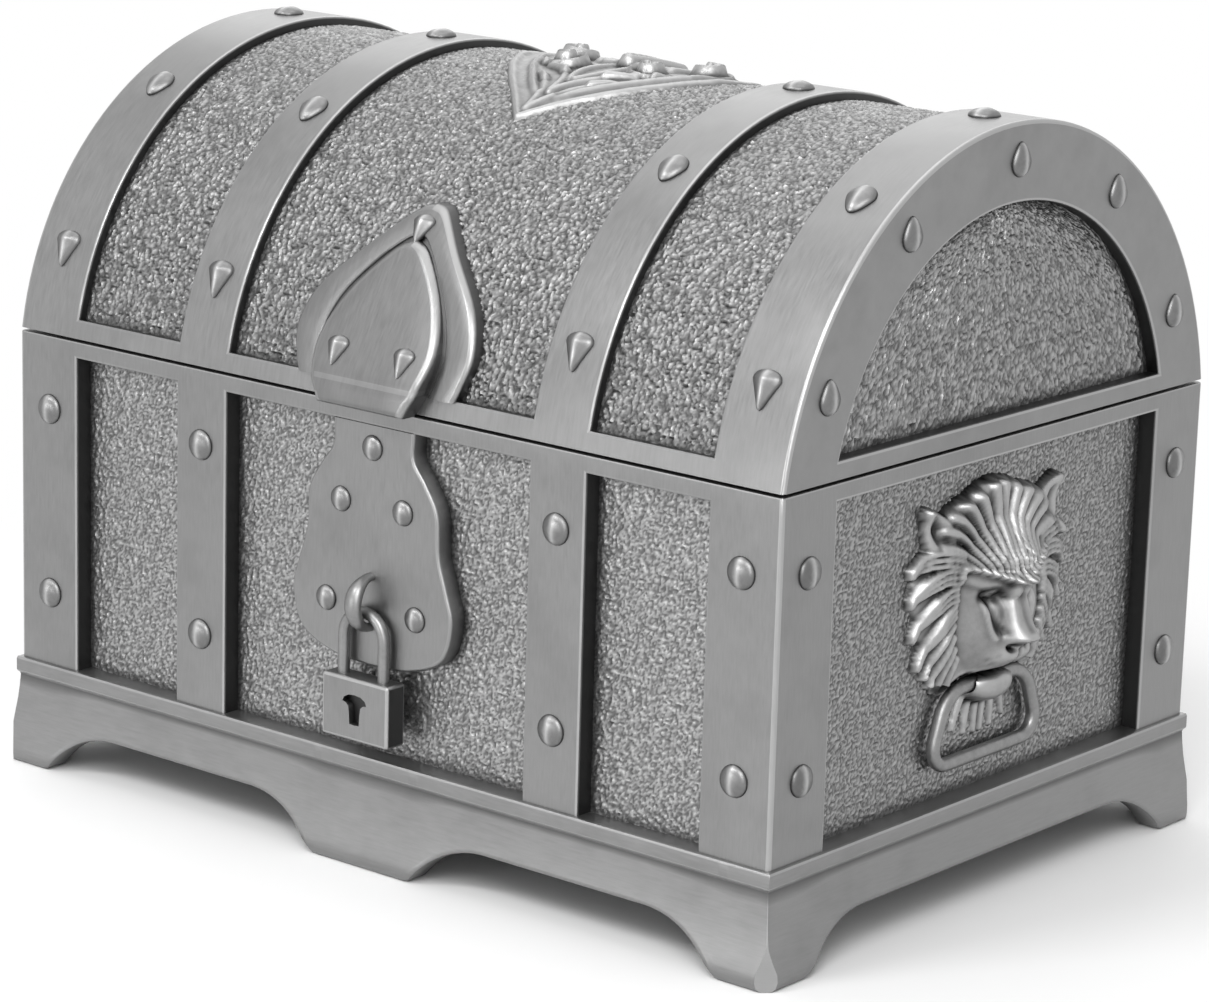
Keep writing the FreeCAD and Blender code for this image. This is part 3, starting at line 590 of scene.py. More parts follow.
def stippled_tile(name, body, across, along, place, curved=False):
    """A thin closed tile with a stippled face. Place gives a point, its outward direction and its inset."""
    step, pitch = mm("stipple_step"), mm("stipple_pitch")
    tall = mm("lid_stipple_height" if body == "lid" else "stipple_height")
    bm = new_shape("height", "inset")
    shade_and_patina, raised, inset = (bm.verts.layers.float[mark] for mark in ("shade_and_patina", "height", "inset"))
    bmesh.ops.create_grid(bm, x_segments=round(across / step), y_segments=round(along / step), size=0.5)
    back, _ = draw_out(bm, open_edges(bm), (0, 0, -1))
    if curved:
        bmesh.ops.dissolve_verts(bm, verts=[v for v in back if abs(v.co.x) < 0.4999])
        sides = [e for e in open_edges(bm) if abs(e.verts[0].co.x - e.verts[1].co.x) < 0.5]
        bmesh.ops.bridge_loops(bm, edges=sides)
    else:
        close_holes(bm)
    for v in bm.verts:
        point, outward, margin = place(v.co.x, v.co.y)
        if v.co.z < -0.5:
            v.co = point - outward * TUCK
            v[raised] = -1.0
        else:
            v[raised] = grain = stipple(point, pitch)
            v[inset] = margin
            # Painted shade on the lid's fields, darker where the barrel slopes away from the crown.
            v[shade_and_patina] = abs(outward.y) if curved else 0.0
            v.co = point + outward * (grain * tall * min(1.0, 0.25 + margin))
    finish_piece(bm, name, body, "stippled", sharp=60)


def from_lock_plate(x, z):
    """Distance of a point on the front's middle field from the lock plate's edge."""
    drop = BASE_TOP - mm("rail") - z
    foot = LOCK_PLATE[-1][1]
    if drop > foot:
        return math.hypot(max(0.0, abs(x) - LOCK_PLATE[-2][0]), drop - foot)
    return max(0.0, abs(x) - float(np.interp(drop, *zip(*[(d, w) for w, d in LOCK_PLATE]))))


def flat_field(low, high, outward):
    """Place function of an upright field between two corners, for a tile that faces outward."""
    low, high, outward = Vector(low), Vector(high), Vector(outward)
    run = 1 if abs(outward.x) > 0.5 else 0
    by_plate = outward.y < -0.5 and low.x * high.x < 0

    def place(u, w):
        point = low.copy()
        point[run] = low[run] + (u + 0.5) * (high[run] - low[run])
        point.z = low.z + (w + 0.5) * (high.z - low.z)
        margin = min(point[run] - low[run], high[run] - point[run], point.z - low.z, high.z - point.z)
        # Near the lock plate the margin shrinks, which lowers the grain there and paints shade round the plate.
        if by_plate:
            margin = min(margin, from_lock_plate(point.x, point.z))
        return point, outward, max(0.0, margin)

    return place


class CHEST_OT_tray(bpy.types.Operator):
    """Make the cast box with its posts, straps and rail standing round sunk fields"""

    bl_idname = "chest.tray"
    bl_label = "Box frame"

    def execute(self, context):
        bm = new_shape()
        spare = 5.0
        low = PLINTH_TOP - spare
        add_block(bm, (0, 0, (low + BASE_TOP) / 2), (2 * HALF_W, 2 * HALF_D, BASE_TOP - low))
        rail_under = BASE_TOP - mm("rail")
        end_half = HALF_D - mm("post_width")
        fields = front_fields()
        for edge in sum(fields, ()):
            slice_at(bm, 0, edge)
        slice_at(bm, 1, -end_half)
        slice_at(bm, 1, end_half)
        slice_at(bm, 2, rail_under)
        panels = []
        for face in bm.faces:
            at = face.calc_center_median()
            if at.z > rail_under or abs(face.normal.z) > 0.5:
                continue
            long_side = abs(face.normal.y) > 0.5 and any(a < at.x < b for a, b in fields)
            end = abs(face.normal.x) > 0.5 and abs(at.y) < end_half
            if long_side or end:
                panels.append(face)
        bmesh.ops.inset_individual(bm, faces=panels, thickness=0.0, depth=-mm("field_depth") - TUCK)
        slice_at(bm, 2, PLINTH_TOP, clear_below=True)
        close_holes(bm)
        top = [f for f in bm.faces if f.calc_center_median().z > BASE_TOP - 0.01]
        bmesh.ops.inset_region(bm, faces=top, thickness=mm("wall"), depth=0.0, use_even_offset=True)
        drop = BASE_TOP - PLINTH_TOP - mm("floor")
        sunk = verts_of(bmesh.ops.extrude_face_region(bm, geom=top))
        bmesh.ops.translate(bm, vec=(0, 0, -drop), verts=sunk)
        bmesh.ops.delete(bm, geom=[f for f in top if f.is_valid], context="FACES")
        turn_outward(bm)

        def is_upright(at):
            corner = near(abs(at.x), HALF_W) and near(abs(at.y), HALF_D)
            return corner and PLINTH_TOP + 0.01 < at.z < BASE_TOP - 0.01

        def is_lip(at):
            return at.z > BASE_TOP - 0.01

        def is_rim(at):
            on_side = near(abs(at.y), HALF_D) or near(abs(at.x), HALF_W)
            return on_side and PLINTH_TOP + 0.01 < at.z < rail_under + 0.01

        soften(bm, sharp_edges(bm, is_upright), mm("edge_round"), 4)
        soften(bm, sharp_edges(bm, is_lip), mm("lip_round"), 2, 0.6)
        # Rims that face right are painted much brighter, a painted highlight. The others are barely rubbed.
        soften(bm, sharp_edges(bm, is_rim), mm("rim_round"), 2, 0.2, 0.9)
        behind = mm("rim_round") * 0.8

        # Painted shade on the walls of the sunk fields, with some real patina.
        def shade_and_patina(at):
            inside = HALF_D - abs(at.y) > behind and HALF_W - abs(at.x) > behind
            return 1.0 if inside and at.z < rail_under + 0.5 else 0.0

        mark_verts(bm, shade_and_patina)
        finish_piece(bm, "box_frame", "base", "upright", replaced=("base_tray",), weighted=True)
        return {"FINISHED"}


class CHEST_OT_base_fields(bpy.types.Operator):
    """Make the stippled fields of the box, three on each long side and one on each end"""

    bl_idname = "chest.base_fields"
    bl_label = "Box fields"

    def execute(self, context):
        overlap = 0.05
        top = BASE_TOP - mm("rail") + overlap
        low = PLINTH_TOP - overlap
        for side, sign in LONG_SIDES:
            y = sign * (HALF_D - mm("field_depth"))
            for i, (a, b) in enumerate(front_fields()):
                place = flat_field((a - overlap, y, low), (b + overlap, y, top), (0, sign, 0))
                stippled_tile(f"field_{side}_{i + 1}", "base", b - a, top - low, place)
        end_half = HALF_D - mm("post_width") + overlap
        for side, sign in ENDS:
            x = sign * (HALF_W - mm("field_depth"))
            place = flat_field((x, -end_half, low), (x, end_half, top), (sign, 0, 0))
            stippled_tile(f"field_{side}_end", "base", 2 * end_half, top - low, place)
        return {"FINISHED"}


def edge_rise(past):
    """Height of the plinth's lower edge past a foot: a small round, a slope, then a wide cove."""
    run, rise, small, wide = 4.6, 4.8, 1.5, 11.0
    slope = math.atan2(rise, run)
    close, far = small * math.tan(slope / 2), wide * math.tan(slope / 2)
    if past <= -close:
        return 0.0
    if past <= close * math.cos(slope):
        return small - math.sqrt(small ** 2 - (past + close) ** 2)
    if past <= run - far * math.cos(slope):
        return past * math.tan(slope)
    if past <= run + far:
        return rise - wide + math.sqrt(wide ** 2 - (run + far - past) ** 2)
    return rise


def plinth_columns():
    """Stations round the plinth: a point on the box's outline, its axis and sign, corner share, lower edge."""
    foot, drop = 4.9, 6.4
    steps = [-0.7, -0.35, 0.0, 0.35, 0.7, 1.2, 1.8, 2.5, 3.3, 4.1, 4.9, 5.7, 6.5, 7.3, 8.1, 8.9, 9.4]
    by_foot = [-foot - s for s in reversed(steps)] + [-3.0, -1.8]
    front = [0.0, 3.0] + [drop + s for s in steps] + [20.0, 25.0, 30.0] + [HALF_W + s for s in by_foot]
    side = [0.0, 6.0, 12.0, 17.0] + [HALF_D + s for s in by_foot]
    stations = []
    for turn in range(4):
        along_x = turn % 2 == 0
        half, other, run = (HALF_W, HALF_D, front) if along_x else (HALF_D, HALF_W, side)
        sign = -1 if turn in (0, 3) else 1
        run = [-half] + [-r for r in reversed(run) if r > 0] + run + [half]
        if turn in (2, 3):
            run = [-r for r in run]
        for r in run:
            level = edge_rise(half - foot - abs(r))
            if along_x:
                level = min(level, edge_rise(abs(r) - drop))
            at = Vector((r, sign * other)) if along_x else Vector((sign * other, r))
            stations.append((at, 0 if along_x else 1, sign, abs(r) == half, level))
    return stations


class CHEST_OT_plinth(bpy.types.Operator):
    """Make the moulded plinth: a ledge, a hollow flare and feet with arches between them"""

    bl_idname = "chest.plinth"
    bl_label = "Plinth"

    def execute(self, context):
        ledge, neck, flare, toe = 0.45, 0.15, 1.5, 1.1
        ledge_foot, neck_top, toe_top = PLINTH_TOP - 1.7, PLINTH_TOP - 2.0, 1.5
        inner_wall, window, seam, facet = 1.2, 9.0, 0.05, 1.4

        def outset(z):
            if z >= toe_top:
                t = (neck_top - z) / (neck_top - toe_top)
                return neck + (flare - neck) * (0.35 * t + 0.65 * t ** 2.4)
            return toe + (flare - toe) * math.sqrt(max(0.0, 1 - ((toe_top - z) / toe_top) ** 2))

        rows = [("band", ledge - 0.3, PLINTH_TOP), ("band", ledge - 0.08, PLINTH_TOP - 0.08),
                ("band", ledge, PLINTH_TOP - 0.3), ("band", ledge, ledge_foot + 0.2),
                ("band", ledge - 0.06, ledge_foot + 0.05), ("band", neck + 0.08, ledge_foot - 0.1),
                ("band", neck, neck_top)]
        rows += [("skirt", share, (0.0, 0.0)) for share in (0.14, 0.28, 0.42, 0.56, 0.7, 0.82, 0.9)]
        rows += [("skirt", 1.0, edge) for edge in ((0.0, 0.35), (0.1, 0.1), (0.35, 0.0))]
        rows += [("inside", inner_wall, 0.0), ("inside", inner_wall, neck_top),
                 ("inside", window, neck_top), ("inside", window, PLINTH_TOP)]

        def point_at(station, row):
            foot, axis, sign, corner, level = station
            kind, value, z = row
            if kind == "band":
                out = value
            elif kind == "skirt":
                cut, lift = z
                z = neck_top - value * (neck_top - level) + lift
                out = outset(z) - cut
            else:
                out = -value
                z = max(z, level) if z == 0.0 else z
            point = foot.copy()
            point[1 - axis] += sign * out
            if corner:
                setback = max(seam, 2 * out - facet) if kind == "skirt" else seam
                point[axis] += math.copysign(1.0, foot[axis]) * (out - setback)
            elif kind == "inside" and value == window:
                limit = (HALF_W if axis == 0 else HALF_D) - window - seam
                point[axis] = max(-limit, min(limit, point[axis]))
            return Vector((point.x, point.y, z))

        stations = plinth_columns()
        bm = new_shape()
        loft(bm, [[point_at(station, row) for station in stations] for row in rows], True)
        merge(bm)
        turn_outward(bm)

        # Painted highlight on the feet's corner facets and on the ledge's upward-tilted faces, partly real
        # rubbing.
        def wear_and_highlight(face, at):
            past = (abs(at.x) - HALF_W, abs(at.y) - HALF_D)
            if min(past) > -0.02 and at.z < ledge_foot:
                return 0.7
            tilted = abs(face.normal.z) >= 0.15
            return 0.6 if max(past) > 0.05 and tilted and at.z > neck_top + 0.2 else 0.0

        # Painted shade on the plinth's inner faces and in the crease under the ledge.
        def shade_and_patina(at):
            out = max(abs(at.x) - HALF_W, abs(at.y) - HALF_D)
            return 0.7 if out < -0.2 or abs(at.z - neck_top) < 0.05 else 0.0

        mark_faces(bm, wear_and_highlight)
        mark_verts(bm, shade_and_patina)
        finish_piece(bm, "plinth_moulding", "base", "level", replaced=("plinth",), weighted=True)
        return {"FINISHED"}


# Rivet heads as shares of the radius and of the height
DOME = [(1.0, -0.3), (1.0, 0.05), (0.95, 0.32), (0.84, 0.56), (0.66, 0.78), (0.44, 0.92), (0.22, 0.98),
        (0.0, 1.0)]
WEDGE = [(1.0, -0.3), (1.0, 0.2), (0.9, 0.5), (0.62, 0.82), (0.34, 1.08), (0.16, 1.2), (0.0, 1.24)]


def add_rivet(bm, radius, height, point, outward, down, tail):
    """A head with a faint upright keel, which also carries a painted highlight streak. A tail draws it to a
    point downwards, and a long one makes a wedge.
    """
    profile = WEDGE if tail > 0.5 else DOME
    verts = [bm.verts.new((r * radius, 0, h * height)) for r, h in profile]
    edges = [bm.edges.new(pair) for pair in zip(verts, verts[1:])]
    before = set(bm.verts) - set(verts)
    bmesh.ops.spin(bm, geom=verts + edges, cent=(0, 0, 0), axis=(0, 0, 1), angle=math.tau, steps=24,
                   use_merge=True)
    bmesh.ops.remove_doubles(bm, verts=[v for v in bm.verts if v not in before], dist=0.001)
    rub_patina_and_painted_light = bm.verts.layers.float["rub_patina_and_painted_light"]
    outward, down = Vector(outward).normalized(), Vector(down)
    down = (down - outward * outward.dot(down)).normalized()
    turn = Matrix((down.cross(outward), down, outward)).transposed()
    for v in bm.verts:
        if v in before:
            continue
        level = v.co.z / height
        across = v.co.x / radius
        keel = math.exp(-((across - 0.05) / 0.2) ** 2)
        # Dark patina ring at the foot, a painted highlight streak down the keel, and painted shade, deeper on
        # one side than the other.
        v[rub_patina_and_painted_light] = -1.0 if level < 0.1 else 1.15 * keel - (0.5 if across > 0 else 0.3)
        if level > 0.5:
            v.co.z += 0.1 * height * keel
        if tail and v.co.y > 0:
            reach = v.co.y / radius
            v.co.x *= 1 - 0.72 * reach * min(1.0, tail)
            v.co.y *= 1 + tail * reach
        elif tail > 0.5:
            v.co.x *= 1 + 0.12 * -v.co.y / radius
            v.co.y *= 0.7
        v.co = Vector(point) + turn @ v.co


class CHEST_OT_rivets(bpy.types.Operator):
    """Make the rivets on the posts, straps, bands, lock plate and hasp"""

    bl_idname = "chest.rivets"
    bl_label = "Rivets"

    def rivets(self, name, body, node, heads, size=("rivet_radius", "rivet_height"), share=1.0):
        """One set of rivets. Each head is a point, its outward and downward directions and its tail."""
        bm = new_shape("rub_patina_and_painted_light")
        for head in heads:
            add_rivet(bm, mm(size[0]) * share, mm(size[1]), *head)
        finish_relief(bm, name, body, node)

    def execute(self, context):
        inset, edge, spread = 7.75, 4.4, 0.403
        fall = (0, 0, -1)
        levels = (PLINTH_TOP + inset, BASE_TOP - inset)
        columns = (edge - HALF_W, -mm("strap_centre"), mm("strap_centre"), HALF_W - edge)
        for side, sign in LONG_SIDES:
            self.rivets(f"rivets_{side}", "base", f"{side}_strap_rivets",
                        [((x, sign * HALF_D, z), (0, sign, 0), fall, 0.0) for x in columns for z in levels])
        for side, sign in ENDS:
            self.rivets(f"rivets_{side}_end", "base", f"side_rivets_{side}",
                        [((sign * HALF_W, y, z), (sign, 0, 0), fall, 0.0)
                         for y in (edge - HALF_D, HALF_D - edge) for z in levels])
        turns = [i * spread * RIM_ANGLE for i in range(-2, 3)]
        tails = (0.75, 0.3, 0.0, 0.3, 0.75)
        self.rivets("rivets_lid_bands", "lid", "lid_band_rivets",
                    [(*over_barrel(BARREL_R, turn, x), fall if turn else (0, -1, 0), tail)
                     for x in columns for turn, tail in zip(turns, tails)])
        reach = BARREL_R - mm("end_band") / 2
        for side, sign in ENDS:
            self.rivets(f"rivets_lid_{side}_end", "lid", f"lid_end_rivets_{side}",
                        [((sign * HALF_W, reach * math.sin(turn), BARREL_Z + reach * math.cos(turn)),
                          (sign, 0, 0), (0, 0, 1), 0.35) for turn in turns], share=0.92)
        small = ("small_rivet_radius", "small_rivet_height")
        rail_under = BASE_TOP - mm("rail")
        spots = ((0.0, 2.2), (-4.1, 8.0), (4.1, 8.0), (-5.9, 18.4), (5.9, 18.4))
        self.rivets("rivets_lock_plate", "base", "lock_plate_rivets",
                    [((x, -HALF_D, rail_under - drop), (0, -1, 0), fall, 0.0) for x, drop in spots], small)
        foot_up, head_up, apart, tail = 5.4, 17.0, 4.3, 0.7
        slope = (TIP - KNEE).normalized()
        foot = KNEE + slope * ((LID_BOTTOM + foot_up - KNEE.z) / slope.z)
        level = LID_BOTTOM + head_up
        outward = Vector((0, -barrel_reach(HASP_R, level), level - BARREL_Z)).normalized()
        heads = [(foot + Vector((x, 0, 0)), (0, -slope.z, slope.y), fall, tail) for x in (-apart, apart)]
        heads.append((Vector((0, 0, BARREL_Z)) + outward * HASP_R, outward, fall, tail))
        self.rivets("rivets_hasp", "lid", "lid_hasp_rivets", heads, small)
        return {"FINISHED"}


class CHEST_OT_lock(bpy.types.Operator):
    """Make the wavy lock plate, the staple that stands out of it, and the padlock hung in the staple"""

    bl_idname = "chest.lock"
    bl_label = "Lock plate and padlock"

    # The padlock's legs above its case and inside it, then the case
    LEG, LEG_INSIDE = 3.9, 1.7
    WIDE, TALL, DEEP = 8.8, 6.4, 2.6
    # Half the keyhole as across and up from the middle of the case
    KEYHOLE = [(0.0, 1.55), (0.8, 1.48), (1.4, 1.15), (1.6, 0.72), (1.1, 0.6), (0.8, 0.3), (0.7, -0.4),
               (0.64, -1.5), (0.0, -1.55)]

    def execute(self, context):
        self.plate()
        level = BASE_TOP - mm("rail") - STAPLE_DROP
        self.staple(level)
        clearance = 0.25
        stand = BOW_WIRE + clearance
        hung = STAPLE_R - STAPLE_WIRE - BOW_WIRE - 0.05
        crown = level - math.sqrt(hung ** 2 - stand ** 2)
        self.bow(-HALF_D - stand, crown - BOW_R)
        self.case(-HALF_D - stand, crown - BOW_R)
        return {"FINISHED"}

    def plate(self):
        top = BASE_TOP - mm("rail")
        half = [Vector((x, top - drop)) for x, drop in smooth_outline(LOCK_PLATE, 6)]
        half[-1].x = 0.0
        ring = half + [Vector((-p.x, p.y)) for p in reversed(half) if p.x > 1e-6]
        bm = new_shape()
        bmesh.ops.contextual_create(bm, geom=closed_outline(bm, [(p.x, -HALF_D, p.y) for p in ring]))
        made = bmesh.ops.extrude_face_region(bm, geom=bm.faces[:])
        bmesh.ops.translate(bm, vec=(0, mm("field_depth") + 0.2, 0), verts=verts_of(made))
        turn_outward(bm)
        soften(bm, sharp_edges(bm, lambda at: near(at.y, -HALF_D) and at.z < top - 0.1), 0.35, 3, 0.25)
        # Painted shade on the plate's side walls, which stand back towards the field.
        mark_verts(bm, lambda at: 1.0 if at.y > -HALF_D + 1.0 else 0.0)
        finish_piece(bm, "lock_plate_wavy", "base", "upright", ("lock_plate",), weighted=True)

    def staple(self, level):
        """A half ring of wire, drawn flat towards its feet."""
        middle = Vector((0, -HALF_D, level))
        bm = new_shape("rub_patina_and_painted_light")
        turned = Matrix.Translation(middle + Vector((0, 0, STAPLE_R))) @ Matrix.Rotation(math.pi / 2, 4, "X")
        bmesh.ops.create_circle(bm, cap_ends=False, radius=STAPLE_WIRE, segments=14, matrix=turned)
        bmesh.ops.spin(bm, geom=bm.verts[:] + bm.edges[:], cent=middle, axis=(1, 0, 0), angle=math.pi, steps=20)
        merge(bm)
        for v in bm.verts:
            along = Vector((0, v.co.y + HALF_D, v.co.z - level)).normalized()
            centre = middle + along * STAPLE_R
            slim = 1 - 0.3 * abs(along.z) ** 4
            v.co = centre + (v.co - centre) * slim
            v.co.x *= 1.5 * slim
        close_holes(bm)
        finish_relief(bm, "staple_eye", "base", "staple")

    def bow(self, y, shoulder):
        bm = new_shape("rub_patina_and_painted_light")
        bmesh.ops.create_circle(bm, cap_ends=False, radius=BOW_WIRE, segments=14,
                                matrix=Matrix.Translation((-BOW_R, y, shoulder)))
        ring = bm.edges[:]
        made = bmesh.ops.spin(bm, geom=bm.verts[:] + ring, cent=(0, y, shoulder), axis=(0, 1, 0),
                              angle=math.pi, steps=18)
        for loop in (ring, edges_of(made, "geom_last")):
            draw_out(bm, loop, (0, 0, -self.LEG - self.LEG_INSIDE))
        merge(bm)
        close_holes(bm)
        finish_relief(bm, "padlock_bow", "padlock", "padlock_shackle")

    def case(self, y, shoulder):
        middle = shoulder - self.LEG - self.TALL / 2
        front = y - self.DEEP / 2
        hole_deep = 0.8
        bm = new_shape()
        add_block(bm, (0, y, middle), (self.WIDE, self.DEEP, self.TALL))
        ring = self.KEYHOLE + [(-x, z) for x, z in reversed(self.KEYHOLE[1:-1])]
        bmesh.ops.delete(bm, geom=[f for f in bm.faces if f.normal.y < -0.5], context="FACES_ONLY")
        rim = open_edges(bm)
        hole = closed_outline(bm, [(x, front, middle + z) for x, z in ring])
        bmesh.ops.bridge_loops(bm, edges=rim + hole)
        draw_out(bm, hole, (0, hole_deep, 0))
        close_holes(bm)
        turn_outward(bm)

        def is_case(at):
            close = [near(abs(at.x), self.WIDE / 2), near(abs(at.y - y), self.DEEP / 2),
                     near(abs(at.z - middle), self.TALL / 2)]
            return sum(close) == 2

        # Painted shade inside the keyhole and on both sides of the case.
        def shade_and_patina(at):
            if front + hole_deep / 2 < at.y < front + hole_deep + 0.05 and abs(at.x) < 2:
                return 1.0
            return 0.9 if abs(at.x) > self.WIDE / 2 - 0.01 else 0.0

        soften(bm, sharp_edges(bm, is_case), 0.32, 3)
        mark_verts(bm, shade_and_patina)
        finish_piece(bm, "padlock_case", "padlock", "upright", ("padlock_body",), weighted=True)


class CHEST_OT_lid(bpy.types.Operator):
    """Make the barrel lid with bands standing round sunk fields, arched ends and a hollow inside"""

    bl_idname = "chest.lid"
    bl_label = "Lid frame"

    def execute(self, context):
        bm = new_shape()
        rail_top = LID_BOTTOM + mm("rail")
        field_r = BARREL_R - mm("lid_field_depth")
        stop = math.acos((rail_top - BARREL_Z) / field_r)
        end_r = BARREL_R - mm("end_band")
        end_angle = math.acos((rail_top - BARREL_Z) / end_r)
        band_inside = HALF_W - mm("post_width") + 0.1
        for arc, sign in zip(barrel_shell(bm, BARREL_R, HALF_W, (RIM_ANGLE, stop), 64), (-1, 1)):
            self.end(bm, arc, sign, end_r, end_angle)
        for edge in sum(front_fields(), ()):
            slice_at(bm, 0, edge)
        for low, high in front_fields():
            field = []
            for face in bm.faces:
                at = face.calc_center_median()
                over = Vector((at.y, at.z - BARREL_Z))
                if low < at.x < high and over.length > end_r + 3 and at.z > rail_top - 0.2 and over.y > 0:
                    if abs(math.atan2(over.x, over.y)) < stop:
                        field.append(face)
            fresh = verts_of(bmesh.ops.extrude_face_region(bm, geom=field))
            bmesh.ops.delete(bm, geom=[f for f in field if f.is_valid], context="FACES")
            sunk = (field_r - TUCK) / BARREL_R
            for v in fresh:
                v.co.y *= sunk
                v.co.z = BARREL_Z + (v.co.z - BARREL_Z) * sunk
        inner_r = BARREL_R - mm("wall")
        outer_rim = open_edges(bm)
        inner_angle = math.acos((LID_BOTTOM - BARREL_Z) / inner_r)
        cap_arcs(bm, barrel_shell(bm, inner_r, HALF_W - mm("wall"), (inner_angle,), 48), LID_BOTTOM)
        inner_rim = [e for e in open_edges(bm) if e not in set(outer_rim)]
        bmesh.ops.triangle_fill(bm, edges=outer_rim + inner_rim, use_beauty=True, normal=(0, 0, -1))
        turn_outward(bm)

        def is_end_arc(at):
            return near(abs(at.x), HALF_W) and from_axis(at) > BARREL_R - 0.15 and at.z > LID_BOTTOM + 0.01

        def is_lip(at):
            return near(at.z, LID_BOTTOM) and (abs(at.x) > HALF_W - 0.01 or abs(at.y) > HALF_D - 0.05)

        def is_rim(at):
            barrel = from_axis(at) > BARREL_R - 0.12 and abs(at.x) < band_inside
            end = near(abs(at.x), HALF_W) and from_axis(at) < end_r + 0.1 and at.z > rail_top - 0.05
            return (barrel or end) and at.z > LID_BOTTOM + 0.5

        behind = mm("rim_round") * 0.8

        # Painted shade on the walls of the sunk fields, with some real patina.
        def shade_and_patina(at):
            sunk = field_r - 1.0 < from_axis(at) < BARREL_R - behind and abs(at.x) < band_inside
            end = HALF_W - 2.5 < abs(at.x) < HALF_W - behind and from_axis(at) < end_r + 0.1
            return 1.0 if sunk or end else 0.0

        soften(bm, sharp_edges(bm, is_end_arc), mm("edge_round"), 4)
        soften(bm, sharp_edges(bm, is_lip), mm("lip_round"), 2, 0.6)
        # Rims that face right are painted much brighter, a painted highlight. The others are barely rubbed.
        soften(bm, sharp_edges(bm, is_rim), mm("rim_round"), 2, 0.2, 0.9)
        mark_verts(bm, shade_and_patina)
        finish_piece(bm, "lid_frame", "lid", "round", replaced=("lid_shell",), weighted=True)
        return {"FINISHED"}

    def end(self, bm, arc, sign, end_r, end_angle):
        """One arched end: a band inside the barrel's edge, a rail below, and a sunk field between."""
        fresh, inner = draw_out(bm, arc)
        for v in fresh:
            angle = math.atan2(v.co.y, v.co.z - BARREL_Z) * end_angle / RIM_ANGLE
            v.co.y = end_r * math.sin(angle)
            v.co.z = BARREL_Z + end_r * math.cos(angle)
        feet = sorted(fresh, key=lambda v: v.co.z)[:2]
        rims = [e.other_vert(v) for v in feet for e in v.link_edges if e.other_vert(v) not in set(fresh)]
        bmesh.ops.contextual_create(bm, geom=[feet[0], feet[1], rims[1], rims[0]])
        field = bmesh.ops.contextual_create(bm, geom=inner + [bm.edges.get(feet)])["faces"]
        bm.normal_update()
        for face in field:
            if face.normal.x * sign < 0:
                face.normal_flip()
        bmesh.ops.inset_individual(bm, faces=field, thickness=0.0, depth=-mm("end_depth") - TUCK)


class CHEST_OT_lid_fields(bpy.types.Operator):
    """Make the stippled fields of the lid, three over the barrel and one on each arched end"""

    bl_idname = "chest.lid_fields"
    bl_label = "Lid fields"

    def execute(self, context):
        overlap = 0.05
        rail_top = LID_BOTTOM + mm("rail")
        radius = BARREL_R - mm("lid_field_depth")
        stop = math.acos((rail_top - BARREL_Z) / radius) + overlap / radius
        for i, (low, high) in enumerate(front_fields()):
            def on_barrel(u, w, low=low - overlap, high=high + overlap):
                x = low + (u + 0.5) * (high - low)
                angle = 2 * w * stop
                margin = min(x - low, high - x, (stop - abs(angle)) * radius)
                return *over_barrel(radius, angle, x), max(0.0, margin)

            stippled_tile(f"lid_field_{i + 1}", "lid", high - low, 2 * stop * radius, on_barrel, True)
        end_r = BARREL_R - mm("end_band") + overlap
        low_z = rail_top - overlap
        high_z = BARREL_Z + end_r - 0.02
        for side, sign in ENDS:
            def half_disc(u, w, sign=sign):
                z = low_z + (high_z - low_z) * math.sin((w + 0.5) * math.pi / 2)
                y = 2 * u * barrel_reach(end_r, z)
                margin = min(z - low_z, end_r - math.hypot(y, z - BARREL_Z))
                point = Vector((sign * (HALF_W - mm("end_depth")), y, z))
                return point, Vector((sign, 0, 0)), max(0.0, margin)

            stippled_tile(f"lid_field_{side}_end", "lid", 2 * end_r, high_z - low_z, half_disc)
        return {"FINISHED"}


